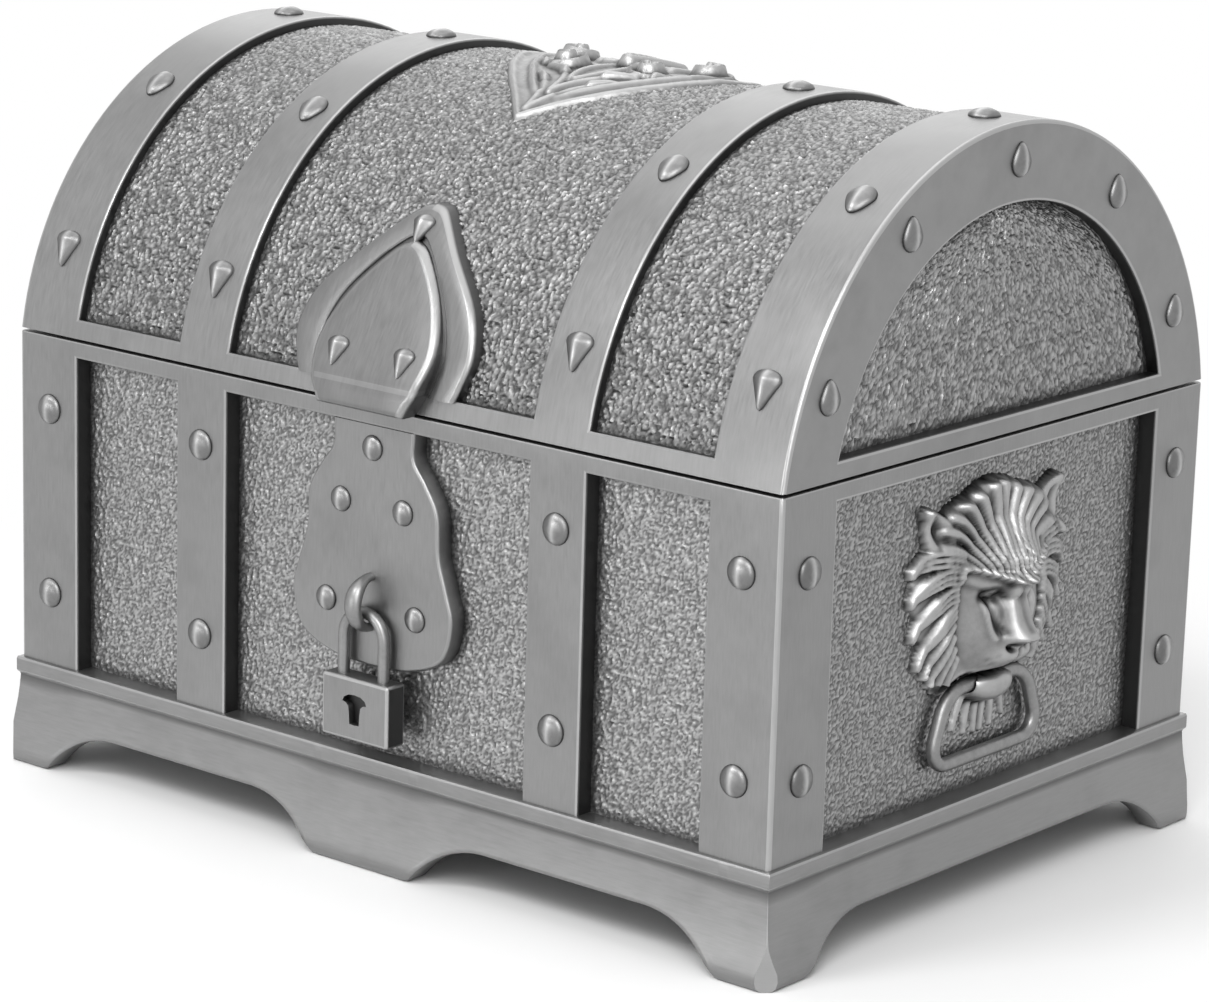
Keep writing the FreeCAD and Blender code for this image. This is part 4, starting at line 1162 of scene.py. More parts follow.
class CHEST_OT_hasp(bpy.types.Operator):
    """Make the spade-shaped hasp: a rounded border round a flat flap with a lip over the parting"""

    bl_idname = "chest.hasp"
    bl_label = "Hasp"

    # Half outlines of the border and the flap as across and above the lid's lower edge
    OUTER = [(10.2, 1.8), (10.8, 3.2), (11.5, 6.4), (9.9, 10.4), (5.2, 15.0), (1.8, 18.1), (0.0, 18.7)]
    INNER = [(6.6, 1.8), (7.1, 3.2), (7.5, 6.2), (6.1, 9.8), (3.4, 13.2), (1.2, 15.1), (0.0, 15.5)]
    FLAP = [(5.6, -0.2), (6.2, 1.0), (6.9, 2.4), (7.5, 6.2), (5.6, 10.6), (2.2, 14.4), (0.15, 15.5)]
    # The border's section as a share of the way in and a lift off its face
    SECTION = [(0.0, -2.0), (0.0, -0.5), (0.02, -0.28), (0.07, -0.1), (0.14, 0.0), (0.4, 0.0), (0.64, 0.0),
               (0.8, -0.05), (0.86, -0.18), (0.89, -0.36), (1.05, -0.36), (1.05, -2.0)]
    # Levels of the flap's sections
    LEVELS = [-0.2, -0.17, -0.08, 0.04, 0.08, 0.25, 0.5, 0.9, 1.3, 1.6, 1.9, 2.15, 2.4, 2.65, 2.9, 3.2, 3.7,
              4.4, 5.2, 6.0, 7.0, 8.0, 9.0, 10.0, 11.0, 12.0, 12.8, 13.5, 14.1, 14.6, 15.0, 15.25, 15.42, 15.5]

    def execute(self, context):
        self.border()
        self.flap()
        return {"FINISHED"}

    def border(self):
        """A band swept round the spade, with a groove between it and the flap."""
        pairs = list(zip(smooth_outline(self.OUTER, 6), smooth_outline(self.INNER, 6)))
        flip = Vector((-1, 1))
        pairs += [(a * flip, b * flip) for a, b in reversed(pairs[:-1])]
        rows = []
        for a, b in pairs:
            row = []
            for share, lift in self.SECTION:
                at = a.lerp(b, share)
                z = LID_BOTTOM + at.y
                row.append(Vector((at.x, -barrel_reach(HASP_R + lift, z), z)))
            rows.append(row)
        bm = new_shape()
        loft(bm, rows, False)

        # Painted highlight on the border's rounded edges, much brighter on the right half.
        def wear_and_highlight(face, at):
            if -0.42 < from_axis(at) - HASP_R < -0.03:
                return 0.9 if at.x > 0 else 0.2
            return 0.0

        mark_faces(bm, wear_and_highlight)
        # Painted shade in the groove and on the border's side walls, and a slight overall darkening of the
        # rest.
        mark_verts(bm, lambda at: 0.7 if from_axis(at) - HASP_R < -0.33 else 0.17)
        finish_piece(bm, "hasp_border", "lid", "round", ("lid_hasp",))

    def flap(self):
        """Level sections from the lip to the tip, each rounded towards the flap's outline."""
        curve = smooth_outline(self.FLAP, 8)
        heights, halves = [p.y for p in curve], [p.x for p in curve]
        low, edge, lip = self.LEVELS[0], 0.7, -HALF_D - 0.3
        slope = (TIP - KNEE) / (TIP.z - KNEE.z)

        def half_at(up):
            return float(np.interp(up, heights, halves))

        def from_edge(x, up):
            lean = (half_at(up + 0.05) - half_at(up - 0.05)) / 0.1
            return (half_at(up) - abs(x)) / math.hypot(1, lean)

        def fall(reach, round_by):
            short = max(0.0, round_by - reach)
            return round_by - math.sqrt(max(0.0, round_by ** 2 - short ** 2))

        def face_at(x, up):
            plane = KNEE.y + slope.y * (LID_BOTTOM + up - KNEE.z)
            hang = lip - 2.2 + 0.15 * (up - low)
            bend = max(0.0, 1 - abs(LID_BOTTOM + up - KNEE.z) / 1.2)
            worn_down = max(fall(from_edge(x, up), edge), fall(up - low, 0.6))
            return max(plane, hang) + 0.22 * bend * bend + worn_down

        rows = []
        for up in self.LEVELS:
            half = half_at(up)
            inward = min(1.0, edge / from_edge(0.0, up))
            across = [half * (1 - share * inward) for share in (0.0, 0.05, 0.18, 0.4, 0.68, 1.0)]
            across += [across[-1] * 0.5, 0.0]
            across = [-x for x in across] + across[-2::-1]
            back = lip if up < 0.05 else -barrel_reach(BARREL_R - 1.6, LID_BOTTOM + up)
            line = [(-half, back)] + [(x, min(back, face_at(x, up))) for x in across] + [(half, back)]
            rows.append([Vector((x, y, LID_BOTTOM + up)) for x, y in line])
        bm = new_shape()
        loft(bm, rows, False)

        # Painted highlight on the flap's rounded edge, brighter on the right half and along the lip, and a line
        # at the knee.
        def wear_and_highlight(face, at):
            up = at.z - LID_BOTTOM
            if 0.02 < from_edge(at.x, up) < edge:
                return 0.55 if at.x > 0 or up < 1.0 else 0.1
            return 0.5 if abs(up - KNEE_UP) < 0.2 else 0.0

        # Painted shade along the foot of the flap's edge, and a slight darkening of its face.
        def shade_and_patina(at):
            reach = from_edge(at.x, at.z - LID_BOTTOM)
            return 0.6 if reach < 0.02 else (0.22 if reach > edge - 0.02 else 0.0)

        mark_faces(bm, wear_and_highlight)
        mark_verts(bm, shade_and_patina)
        finish_piece(bm, "hasp_flap", "lid", "round", ("lid_hasp",), 50)


def ramp(value, start, end):
    """0 before a start, 1 after an end, even between them."""
    return np.clip((value - start) / (end - start), 0, 1)


def ellipse_rise(across, up, centre, half, height, power):
    """A rounded lump over an ellipse, zero outside it."""
    share = 1 - ((across - centre[0]) / half[0]) ** 2 - ((up - centre[1]) / half[1]) ** 2
    return height * np.clip(share, 0, 1) ** power


def soft_spot(across, up, centre, half):
    """A soft round hump, 1 at its centre, for adding to or taking from a relief."""
    return np.exp(-((across - centre[0]) / half[0]) ** 2 - ((up - centre[1]) / half[1]) ** 2)


def curve_steps(curve):
    """Shares and points along a curve that starts and ends at the outer two of three points."""
    a, b, c = (np.array(p) for p in curve)
    return [(t, a * (1 - t) ** 2 + 2 * b * t * (1 - t) + c * t * t) for t in np.linspace(0, 1, 26)]


def from_curve(across, up, curve):
    """Distance from such a curve."""
    return np.min([np.hypot(across - p[0], up - p[1]) for t, p in curve_steps(curve)], axis=0)


def ridge_rise(across, up, curve, width, height, taper):
    """A rounded ridge along such a curve, narrower towards its end."""
    best = np.zeros_like(across)
    for t, p in curve_steps(curve):
        half = width * (1 - taper * t)
        share = 1 - ((across - p[0]) ** 2 + (up - p[1]) ** 2) / half ** 2
        best = np.maximum(best, np.clip(share, 0, 1) * height * (1 - 0.35 * t))
    return best


def blended(a, b, softness):
    """The higher of two reliefs, with a soft join where both stand up."""
    join = np.clip(1 - np.abs(a - b) / softness, 0, 1) ** 2 * softness / 4
    return np.maximum(a, b) + join * np.clip(np.minimum(a, b) / softness, 0, 1)


# Half widths of the lion's mane and their heights
MANE = [(4.4, 19.6), (7.8, 22.0), (8.8, 24.0), (9.9, 26.0), (11.0, 28.0), (11.8, 30.0), (12.3, 32.0),
        (12.6, 34.0), (11.4, 36.0), (10.0, 38.0), (8.9, 39.6), (7.4, 40.6), (4.6, 41.4), (2.6, 42.2),
        (0.0, 42.6)]
# Curves of its hair as half width and height: a forelock fanned from the brow, curled locks, cheek hair, beard
FORELOCK = [
    ((0.5, 33.0), (0.1, 38.2), (0.8, 42.0)), ((1.2, 33.2), (1.1, 38.4), (3.4, 41.9)),
    ((1.9, 33.5), (2.3, 38.4), (5.6, 41.2)), ((2.7, 33.8), (3.5, 38.1), (7.4, 40.0)),
    ((3.5, 34.1), (4.7, 37.6), (8.5, 38.8)), ((4.4, 34.4), (5.9, 36.9), (9.0, 37.0)),
    ((5.4, 34.7), (6.8, 36.2), (8.8, 35.9)),
]
LOCKS = [
    ((6.4, 35.4), (10.2, 37.0), (12.8, 35.0)), ((6.9, 34.0), (10.6, 35.0), (12.7, 32.0)),
    ((7.2, 32.4), (10.2, 32.4), (12.2, 28.6)), ((7.4, 30.8), (9.6, 29.4), (11.2, 25.6)),
]
CHEEK_HAIR = [
    ((7.5, 29.4), (8.9, 27.4), (9.9, 24.2)), ((7.4, 28.2), (8.4, 26.2), (8.9, 23.2)),
    ((7.2, 27.0), (8.0, 25.2), (8.0, 22.6)), ((6.8, 26.0), (7.3, 24.6), (7.1, 23.0)),
]
BEARD = [
    ((0.5, 21.0), (0.7, 19.0), (0.5, 16.9)), ((1.8, 21.0), (2.2, 19.0), (2.2, 17.1)),
    ((3.0, 21.2), (3.8, 19.6), (4.2, 17.8)),
]
# Ridges and furrows of the face as height, curve, width and taper: brow, nose, under the eye, beside the nose
FACE_LINES = [
    (0.55, ((0.8, 32.9), (3.0, 33.7), (6.6, 35.0)), 0.5, 0.2),
    (0.3, ((0.95, 33.0), (1.1, 30.6), (1.6, 27.6)), 0.42, 0.0),
    (0.4, ((4.0, 31.0), (3.9, 29.2), (2.8, 27.5)), 0.45, 0.2),
    (-0.4, ((3.1, 31.0), (2.9, 29.2), (2.0, 28.0)), 0.5, 0.3),
]
# Humps and hollows of the face as height, centre and half sizes: forehead, lip, cheek, eye socket, nostril
FACE_SPOTS = [
    (0.5, (2.6, 34.9), (3.2, 1.1)), (0.55, (1.9, 25.3), (1.5, 1.1)), (0.5, (5.0, 28.8), (1.9, 2.2)),
    (-1.4, (2.9, 31.6), (1.4, 0.75)), (-1.5, (1.15, 26.5), (0.5, 0.4)),
]
WHISKER_DOTS = [(2.5, 25.7), (3.2, 25.3), (2.7, 24.8)]
# Where the ring lies over the head, along its top and down its side
RING_PATH = [((3.84, RING_TOP), (RING_TOP_HALF, RING_TOP), (7.58, 19.82)),
             ((7.58, 19.82), (8.5, 17.4), (RING_FOOT_HALF, RING_FOOT))]


def lion_relief(across, up):
    """Height of the lion's head off its panel, the same on both sides of the middle."""
    side = np.abs(across)

    def ridge(curve, width, height, taper):
        return ridge_rise(side, up, curve, width, height, taper)

    reach = np.interp(up, [z for half, z in MANE], [half for half, z in MANE])
    mane = 1.5 * ramp(reach - side, 0, 2.4) ** 0.5 * ramp(up, 21.6, 23.2) ** 0.5
    rise = blended(mane, ellipse_rise(side, up, (0, 30.8), (7.5, 8.4), 3.7, 0.55), 1.2)
    hairs = [ridge(strand, 0.42, 1.15, -0.7) * ramp(mane, 0, 0.9) for strand in FORELOCK]
    hairs += [ridge(strand, 0.55, 1.0, 0.35) for strand in CHEEK_HAIR]
    for strand in LOCKS:
        for parted in (-0.72, 0.0, 0.72):
            hair = [(p[0], p[1] + parted * spread) for p, spread in zip(strand, (0.8, 1.0, 0.45))]
            hairs.append(ridge(hair, 0.5, 1.05, 0.4))
    locks = np.max(hairs, axis=0)
    rise = np.maximum(rise + locks, ramp(locks, 0, 0.25) * 0.5 + locks)

    # Brow, bridge and end of the nose, eyes and mouth
    rise = rise + 0.8 * ridge(((0.8, 32.6), (3.0, 33.0), (6.4, 34.2)), 1.3, 1.0, 0.3) ** 0.7
    along = ramp(up, 33.6, 27.4)
    bridge = (0.55 + 1.5 * along) * np.exp(-(side / (1.2 + 0.55 * along)) ** 4)
    rise = rise + bridge * ramp(up, 34.4, 32.8) * ramp(up, 26.6, 27.3)
    rise = rise - 0.22 * np.exp(-(side / 0.5) ** 2) * ramp(up, 33.0, 31.0) * (up > 28.0)
    rise = rise + 2.1 * soft_spot(side, up, (0, 25.9), (3.4, 2.4)) * (up > 23.2)
    rise = rise + 0.7 * ellipse_rise(side, up, (2.7, 31.7), (0.75, 0.45), 1.0, 0.6)
    rise = rise - 0.75 * np.exp(-(side / 0.3) ** 2) * ((up > 24.0) & (up < 26.3))
    for height, curve, width, taper in FACE_LINES:
        rise = rise + height * ridge(curve, width, 1.0, taper)
    for height, centre, half in FACE_SPOTS:
        rise = rise + height * soft_spot(side, up, centre, half)

    # The jaw and the mouth over it, clear of the hair beside them
    beside = side > 3.4
    hair_below = np.where(up < 23.4, mane * beside, 0) * ramp(up, 23.4, 22.6)
    rise = np.maximum(rise * ramp(up, 22.6, 23.4) + hair_below, np.where(beside, np.minimum(rise, 2.2), 0))
    rise = np.maximum(rise, ellipse_rise(side, up, (0, 22.2), (3.5, 2.1), 3.3, 0.42))
    rise = rise - 1.9 * ridge(((0.0, 23.9), (2.4, 23.4), (4.9, 23.0)), 0.6, 1.0, 0.3)
    for dot in WHISKER_DOTS:
        rise = rise - 0.16 * soft_spot(side, up, dot, (0.22, 0.22))

    # The ears, which lean outward
    ear_side, ear_up = side - 9.6, up - 39.2
    lean = ear_side * 0.6 + ear_up * 0.8
    cross = ear_side * 0.8 - ear_up * 0.6
    ear_half = 2.15 * ramp(lean, 2.5, -1.1) ** 0.7 * ramp(lean, -3.3, -2.4) ** 0.5
    share = np.clip(1 - (cross / np.maximum(ear_half, 0.01)) ** 4, 0, 1)
    ear = np.where(np.abs(lean + 0.4) < 2.85, 1.9 * share ** 0.5, 0)
    ear = ear - 1.45 * soft_spot(cross, lean, (0.2, -0.4), (1.0, 1.7)) * (ear > 0.4)
    rise = np.maximum(rise, ear)

    for strand in BEARD:
        rise = np.maximum(rise, ridge(strand, 0.62, 0.75, 0.4))
    for curve in RING_PATH:
        clear = 0.15 + 3 * np.clip(from_curve(side, up, curve) - 0.95, 0, None)
        rise = np.where(side > 3.6, np.minimum(rise, clear), rise)
    return rise


def blurred(field, passes):
    """A relief smoothed by its neighbours a number of times."""
    for _ in range(passes):
        padded = np.pad(field, 1, mode="edge")
        around = padded[:-2, 1:-1] + padded[2:, 1:-1] + padded[1:-1, :-2] + padded[1:-1, 2:]
        field = (around + 4 * field) / 8
    return field


def relief_slab(across, along, rise_at, place):
    """A closed carved slab: a grid raised by a relief, cut away where the relief lies under its ground."""
    step, ground, under = 0.2, 0.06, -0.3
    columns = round((across[1] - across[0]) / step)
    rows = round((along[1] - along[0]) / step)
    bm = new_shape("rub_patina_and_painted_light")
    bmesh.ops.create_grid(bm, x_segments=columns, y_segments=rows, size=0.5)
    grid = bm.verts[:]
    shape = (rows + 1, columns + 1)
    u = (across[0] + (np.array([v.co.x for v in grid]) + 0.5) * (across[1] - across[0])).reshape(shape)
    w = (along[0] + (np.array([v.co.y for v in grid]) + 0.5) * (along[1] - along[0])).reshape(shape)
    rise = blurred(rise_at(u, w), 1)
    hollow = np.clip((rise - blurred(rise, 14)) / 0.2, -1, 0.52)
    share = ramp(blurred((rise > ground).astype(float), 2), 0.12, 0.72)
    rise = np.maximum(rise, ground) * share + under * (1 - share)
    rub_patina_and_painted_light = bm.verts.layers.float["rub_patina_and_painted_light"]
    spots, low = {}, set()
    for v, a, b, h, c in zip(grid, *(values.reshape(-1) for values in (u, w, rise, hollow))):
        v.co = place(a, b, h)
        v[rub_patina_and_painted_light] = c
        spots[v] = (a, b)
        if h < under + 0.01:
            low.add(v)
    bmesh.ops.delete(bm, geom=[f for f in bm.faces if low.issuperset(f.verts)], context="FACES")
    for v in draw_out(bm, open_edges(bm))[0]:
        front = next(e.other_vert(v) for e in v.link_edges if e.other_vert(v) in spots)
        v.co = place(*spots[front], -RELIEF_BACK)
    close_holes(bm)
    return bm


class CHEST_OT_lions(bpy.types.Operator):
    """Make the two lion heads in high relief, bored through the jaw for their rings"""

    bl_idname = "chest.lions"
    bl_label = "Lion heads"

    def execute(self, context):
        ground = HALF_W - mm("field_depth")
        bm = relief_slab((-14, 14), (16, 44), lion_relief,
                         lambda across, up, rise: Vector((ground + rise, across, up)))
        mesh = self.bored(smooth_mesh(bm, "lion_head"), ground + RING_OFF)
        other = mesh.copy()
        other.transform(Matrix.Diagonal((-1, 1, 1, 1)))
        other.flip_normals()
        for side, head in (("right", mesh), ("left", other)):
            place_piece(head, f"lion_head_{side}", "base", "relief", (f"lion_mask_{side}",), 65)
        return {"FINISHED"}

    def bored(self, solid, x):
        """The head's mesh with the hole for the ring's bar cut through its jaw."""
        bore, depth = 0.86, 30.0
        bm = bmesh.new()
        turned = Matrix.Translation((x / 1000, 0, RING_TOP / 1000)) @ Matrix.Rotation(math.pi / 2, 4, "X")
        bmesh.ops.create_cone(bm, cap_ends=True, segments=24, radius1=bore / 1000, radius2=bore / 1000,
                              depth=depth / 1000, matrix=turned)
        head = show_object("lion_blank", solid)
        drill = show_object("jaw_drill", plain_mesh(bm, "jaw_drill"))
        hole = head.modifiers.new("Ring hole", "BOOLEAN")
        hole.operation = "DIFFERENCE"
        hole.solver = "EXACT"
        hole.object = drill
        ready = head.evaluated_get(bpy.context.evaluated_depsgraph_get())
        mesh = bpy.data.meshes.new_from_object(ready)
        bpy.data.objects.remove(head)
        bpy.data.objects.remove(drill)
        return mesh


class CHEST_OT_rings(bpy.types.Operator):
    """Make the stirrup rings that hang from the lions' jaws"""

    bl_idname = "chest.rings"
    bl_label = "Pull rings"

    def execute(self, context):
        for side, sign in ENDS:
            bm = new_shape("rub_patina_and_painted_light")
            self.wire(bm, sign * (HALF_W - mm("field_depth") + RING_OFF))
            finish_relief(bm, f"pull_ring_{side}", f"ring_{side}", f"ring_{side}")
        return {"FINISHED"}

    def wire(self, bm, x):
        """A round wire drawn along straight runs and turned round the stirrup's corners."""
        radius, shoulder, heel = 0.7, 4.0, 2.0
        corners = [Vector((RING_TOP_HALF, RING_TOP)), Vector((RING_FOOT_HALF, RING_FOOT)),
                   Vector((-RING_FOOT_HALF, RING_FOOT)), Vector((-RING_TOP_HALF, RING_TOP))]
        bends = []
        for i, (corner, bend) in enumerate(zip(corners, (shoulder, heel, heel, shoulder))):
            back, ahead = corners[i - 1] - corner, corners[(i + 1) % 4] - corner
            half = back.angle(ahead) / 2
            reach = min(bend / math.tan(half), 0.48 * ahead.length, 0.48 * back.length)
            back.normalize()
            ahead.normalize()
            centre = corner + (back + ahead).normalized() * (reach / math.cos(half))
            bends.append((corner + back * reach, corner + ahead * reach, centre, math.pi - 2 * half))
        start = bends[-1][1]
        turned = Matrix.Translation((x, start.x, start.y)) @ Matrix.Rotation(math.pi / 2, 4, "X")
        bmesh.ops.create_circle(bm, cap_ends=False, radius=radius, segments=14, matrix=turned)
        loop = bm.edges[:]
        for entry, leave, centre, angle in bends:
            run = entry - start
            fresh, loop = draw_out(bm, loop, (0, run.x, run.y))
            made = bmesh.ops.spin(bm, geom=fresh + loop, cent=(x, centre.x, centre.y), axis=(1, 0, 0),
                                  angle=-angle, steps=8)
            loop = edges_of(made, "geom_last")
            start = leave
        merge(bm, 0.01)
        if open_edges(bm):
            raise RuntimeError("the pull ring's wire doesn't close on itself")


# Half widths of the crown's ornament and how far they lie behind the crown
CREST = [(0.0, -15.8), (3.4, -12.0), (7.2, -8.0), (10.6, -4.0), (13.0, 0.0), (14.0, 4.0), (13.6, 7.0),
         (11.8, 9.5), (8.4, 11.5), (0.0, 12.8)]
# Its stems as a curve, a width and a height
STEMS = [
    (((0.0, -14.0), (0.5, -10.5), (3.0, -7.2)), 0.6, 0.5), (((3.0, -7.2), (4.4, -5.6), (6.6, -5.2)), 0.6, 0.7),
    (((0.0, -10.0), (0.6, -7.0), (2.6, -4.4)), 0.6, 0.6), (((2.6, -4.4), (3.6, -3.4), (5.6, -3.2)), 0.65, 0.9),
    (((0.3, -6.4), (2.4, -2.6), (1.0, 2.0)), 0.6, 0.6), (((7.2, -2.2), (9.2, -0.8), (10.6, 2.6)), 0.65, 0.9),
    (((6.6, 7.6), (4.6, 8.6), (3.4, 10.2)), 0.7, 0.6), (((4.6, 3.6), (5.6, 5.4), (5.2, 7.4)), 0.8, 0.6),
]
# Its volutes as a middle and the way they turn, and its leaves as a lean in degrees and a height
VOLUTES = [(5.2, -0.8, 1), (8.8, 4.9, -1)]
LEAVES = [(-78, 0.7), (-40, 1.45), (0, 1.6), (40, 1.45), (78, 0.7)]


def crest_relief(across, along):
    """Height of the crown's ornament: a heart with a double rim, two pairs of volutes and a fan of leaves."""
    side = np.abs(across)
    half = np.interp(along, [back for wide, back in CREST], [wide for wide, back in CREST])
    gap = (half - side) * 0.74
    plate = np.where(gap > -0.1, 0.16, 0)
    rim = 0.42 * np.exp(-((gap - 0.4) / 0.3) ** 2) * (half > 0.2)
    second = 0.55 * np.exp(-((gap - 2.4) / 0.3) ** 2) * ramp(along, -11.5, -9.0)
    rise = plate + np.maximum(rim, second) * (gap > -0.3) * np.clip(1 - (along - 1) / 5, 0.3, 1)
    inside = np.maximum(ramp(gap, 2.9, 3.3), side < 1.2)
    for curve, width, height in STEMS:
        rise = np.maximum(rise, plate + inside * ridge_rise(side, along, curve, width, height, 0.3))
    size, pitch = 2.3, 1.25
    for middle, back, hand in VOLUTES:
        away = np.hypot(side - middle, along - back)
        turn = hand * np.arctan2(along - back, side - middle)
        coil = 0.5 + 0.5 * np.cos(math.tau * away / pitch - turn)
        volute = np.clip(1 - (away / size) ** 2, 0, 1) ** 0.4 * (0.3 + 1.4 * coil)
        rise = np.maximum(rise, np.where(away < size, 0.2 + volute, 0))
    for lean, tall in LEAVES:
        x, y = math.sin(math.radians(lean)), math.cos(math.radians(lean))
        leaf = [(x * 0.6, 2.0), (x * 2.9, 2.6 + y * 2.4), (x * 4.6, 3.0 + y * 5.6)]
        blade = ridge_rise(across, along, leaf, 0.62, tall, -0.6)
        rise = np.maximum(rise, np.where(blade > 0, 0.2 + blade, 0))
    return np.minimum(rise, 1.84)


class CHEST_OT_crest(bpy.types.Operator):
    """Make the scrolled ornament on the crown of the lid"""

    bl_idname = "chest.crest"
    bl_label = "Crown ornament"

    def execute(self, context):
        radius = BARREL_R - mm("lid_field_depth")

        def on_crown(across, along, rise):
            angle, reach = along / radius, radius + rise
            return Vector((across, reach * math.sin(angle), BARREL_Z + reach * math.cos(angle)))

        bm = relief_slab((-15, 15), (-17, 15), crest_relief, on_crown)
        finish_relief(bm, "crown_ornament", "lid", "lid_ornament", 65)
        return {"FINISHED"}


class CHEST_OT_liners(bpy.types.Operator):
    """Make the flocked liners of the box and of the lid"""

    bl_idname = "chest.liners"
    bl_label = "Flocked liners"

    def execute(self, context):
        card = 1.0
        low, high = (corner * 1000 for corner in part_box("base_lining"))
        bm = new_shape()
        add_block(bm, (low + high) / 2, high - low)
        bmesh.ops.delete(bm, geom=[f for f in bm.faces if f.normal.z > 0.5], context="FACES_ONLY")
        soften(bm, [e for e in bm.edges if len(e.link_faces) == 2], 1.6, 4)
        turn_outward(bm)
        bmesh.ops.solidify(bm, geom=bm.faces[:], thickness=card)
        soften(bm, [e for e in bm.edges if len(e.link_faces) == 2
                    and all(v.co.z > high.z - 0.01 for v in e.verts)], 0.3, 2)
        finish_piece(bm, "box_liner", "base", "velvet", ("base_lining",), 50)
        low, high = (corner * 1000 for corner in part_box("lid_lining"))
        bm = new_shape()
        radius = high.z - BARREL_Z
        rim = math.acos((low.z - BARREL_Z) / radius)
        cap_arcs(bm, barrel_shell(bm, radius, high.x, (rim,), 48), low.z)
        turn_outward(bm)
        face = bm.faces[:][0]
        if (face.calc_center_median() - Vector((0, 0, BARREL_Z))).dot(face.normal) < 0:
            bmesh.ops.reverse_faces(bm, faces=bm.faces)
        soften(bm, [e for e in bm.edges if len(e.link_faces) == 2
                    and near(e.verts[0].co.x, e.verts[1].co.x)], 1.2, 3)
        bmesh.ops.solidify(bm, geom=bm.faces[:], thickness=card)
        finish_piece(bm, "lid_liner", "lid", "velvet", ("lid_lining",), 50)
        return {"FINISHED"}


class CHEST_OT_hardware(bpy.types.Operator):
    """Give the hinges, their pins and the plinth's screws their steel finish"""

    bl_idname = "chest.hardware"
    bl_label = "Hinges and screws"

    def execute(self, context):
        for name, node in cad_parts.items():
            if name.startswith("hinge_") or name == "plinth_screws":
                node.data.materials.clear()
                node.data.materials.append(finish_for("steel"))
        return {"FINISHED"}


# Each lamp's place and size in metres and its power in watts
LAMPS = {
    "Key softbox": ((0.34, -0.5, 0.54), (0.36, 0.36), 2.9),
    "Front softbox": ((-0.17, -0.54, 0.58), (0.2, 0.2), 1.5),
    "Low strip": ((-0.22, -0.76, 0.1), (0.3, 0.14), 0.9),
    "Side softbox": ((0.47, -0.58, 0.2), (0.16, 0.3), 0.8),
    "Top softbox": ((-0.12, 0.1, 0.72), (0.6, 0.6), 1.35),
    "Rear softbox": ((-0.45, 0.55, 0.45), (0.5, 0.5), 0.8),
}
LAMP_AIM = Vector((0, 0, 0.035))


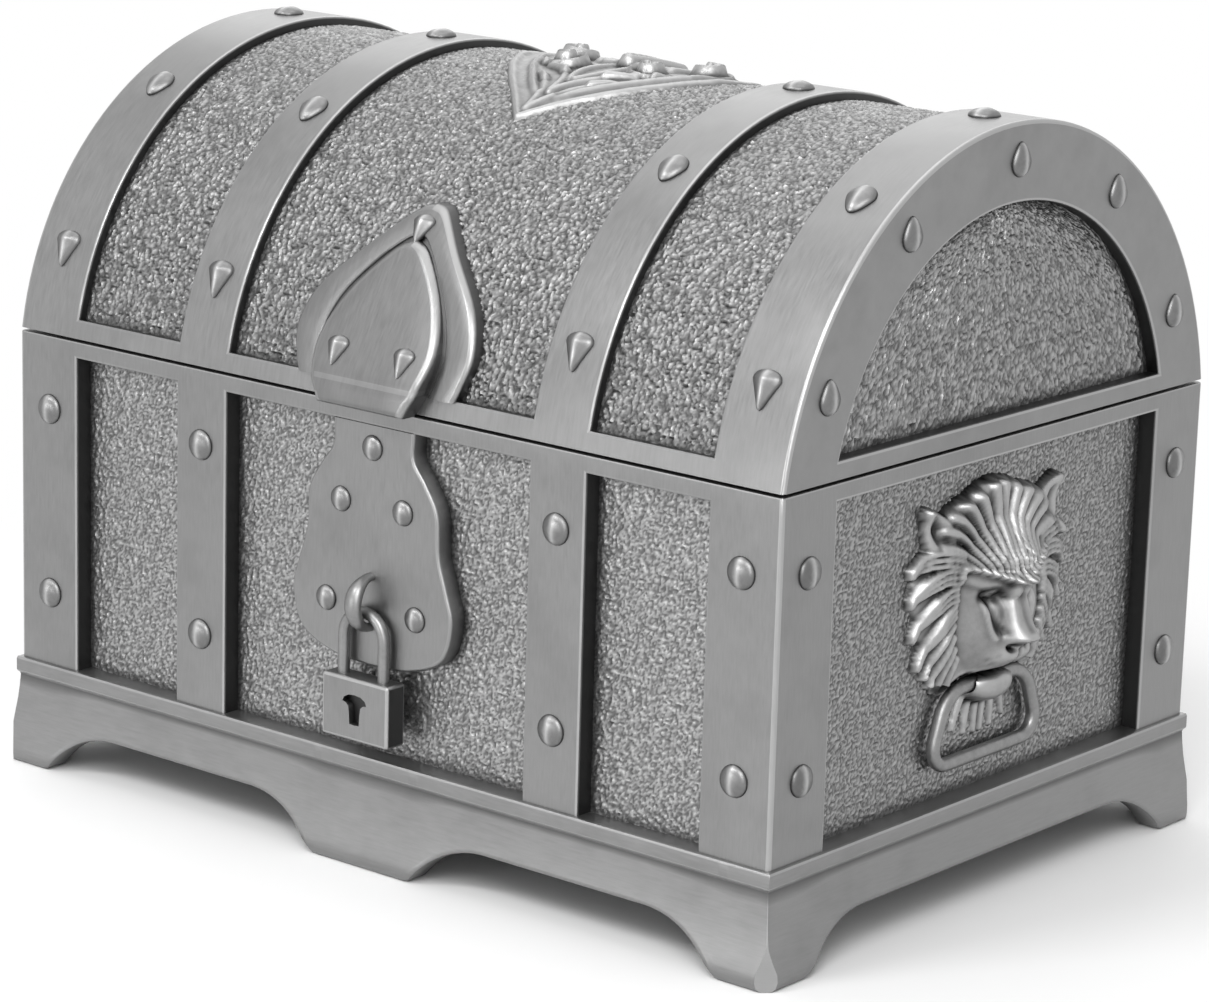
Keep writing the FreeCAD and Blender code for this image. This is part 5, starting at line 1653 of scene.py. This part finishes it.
class CHEST_OT_stage(bpy.types.Operator):
    """Make the pale floor, the studio light and the camera"""

    bl_idname = "chest.stage"
    bl_label = "Floor, light and camera"

    def execute(self, context):
        scene = context.scene
        scene.view_settings.view_transform = "Standard"
        self.floor()
        self.world(scene)
        for name, (at, size, power) in LAMPS.items():
            self.lamp(name, at, size, power)
        self.camera(scene)
        return {"FINISHED"}

    def seen(self, tree):
        """1 for what the camera sees straight on, in a reflection or through something, else 0."""
        path = add_node(tree, "LightPath").outputs
        straight = reckoned(tree, "MAXIMUM", path["Is Camera Ray"], path["Is Glossy Ray"])
        return reckoned(tree, "MAXIMUM", straight, path["Is Transmission Ray"])

    def floor(self):
        """A wide pale floor that turns to plain white away from the chest."""
        bm = bmesh.new()
        bmesh.ops.create_grid(bm, x_segments=1, y_segments=1, size=4.0)
        floor = show_object("floor", plain_mesh(bm, "floor"))
        material, tree = new_material("Pale paper floor")
        place = add_node(tree, "TexCoord").outputs["Object"]
        away = add_node(tree, "VectorMath", {0: place}, operation="LENGTH").outputs["Value"]
        fade = ranged(tree, away, 0.066, 0.13, curve="SMOOTHSTEP")
        share = reckoned(tree, "MULTIPLY", self.seen(tree), fade)
        paper = add_node(tree, "BsdfDiffuse", {"Color": tint("paper")}).outputs["BSDF"]
        white = add_node(tree, "Emission", {"Color": (1, 1, 1, 1), "Strength": 1.0}).outputs["Emission"]
        show(tree, add_node(tree, "MixShader", {0: share, 1: paper, 2: white}).outputs["Shader"])
        floor.data.materials.append(material)

    def world(self, scene):
        """White where it is seen, dimmer where it only lights the chest."""
        scene.world = bpy.data.worlds.new("White studio")
        scene.world.use_nodes = True
        tree = scene.world.node_tree
        tree.nodes.clear()
        level = ranged(tree, self.seen(tree), 0.0, 1.0, 0.55, 1.0)
        sky = add_node(tree, "Background", {"Color": (1, 1, 1, 1), "Strength": level})
        show(tree, sky.outputs["Background"], "World")

    def lamp(self, name, at, size, power):
        data = bpy.data.lights.new(name, "AREA")
        data.shape = "RECTANGLE"
        data.size, data.size_y = size
        data.energy = power
        lamp = show_object(name, data)
        lamp.location = at
        lamp.rotation_euler = (LAMP_AIM - Vector(at)).to_track_quat("-Z", "Y").to_euler()

    def camera(self, scene):
        """The camera fitted to the photo."""
        data = bpy.data.cameras.new("Camera")
        data.lens = 126.37
        data.sensor_width = 36.0
        data.clip_start = 0.01
        camera = show_object("Camera", data)
        right = Vector((0.76838, 0.63939, 0.02775))
        down = Vector((0.17677, -0.17037, -0.96939))
        forward = Vector((-0.61509, 0.74977, -0.24394))
        turn = Matrix((right, -down, -forward)).transposed()
        camera.matrix_world = Matrix.Translation((0.271721, -0.330722, 0.138875)) @ turn.to_4x4()
        scene.camera = camera


OPERATORS = (CHEST_OT_tray, CHEST_OT_base_fields, CHEST_OT_plinth, CHEST_OT_rivets, CHEST_OT_lock, CHEST_OT_lid,
             CHEST_OT_lid_fields, CHEST_OT_hasp, CHEST_OT_crest, CHEST_OT_lions, CHEST_OT_rings,
             CHEST_OT_liners, CHEST_OT_hardware, CHEST_OT_stage)


class CHEST_PT_sidebar(bpy.types.Panel):
    """Lists the chest's pieces with the sizes and colours that they use"""

    bl_idname = "CHEST_PT_sidebar"
    bl_label = "Cast treasure chest"
    bl_space_type = "VIEW_3D"
    bl_region_type = "UI"
    bl_category = "Chest"

    def draw(self, context):
        layout = self.layout
        for group in (context.scene.chest_sizes, context.scene.chest_colours):
            column = layout.column(align=True)
            for name in group.__annotations__:
                column.prop(group, name)
        for operator in OPERATORS:
            layout.operator(operator.bl_idname)


CLASSES = (ChestSizes, ChestColours, *OPERATORS, CHEST_PT_sidebar)


def register():
    for item in CLASSES:
        bpy.utils.register_class(item)
    bpy.types.Scene.chest_sizes = PointerProperty(type=ChestSizes)
    bpy.types.Scene.chest_colours = PointerProperty(type=ChestColours)


def unregister():
    del bpy.types.Scene.chest_colours
    del bpy.types.Scene.chest_sizes
    for item in reversed(CLASSES):
        bpy.utils.unregister_class(item)


def main():
    """Builds every piece in order."""
    register()
    for operator in OPERATORS:
        group, name = operator.bl_idname.split(".")
        getattr(getattr(bpy.ops, group), name)()


if __name__ == "__main__":
    main()
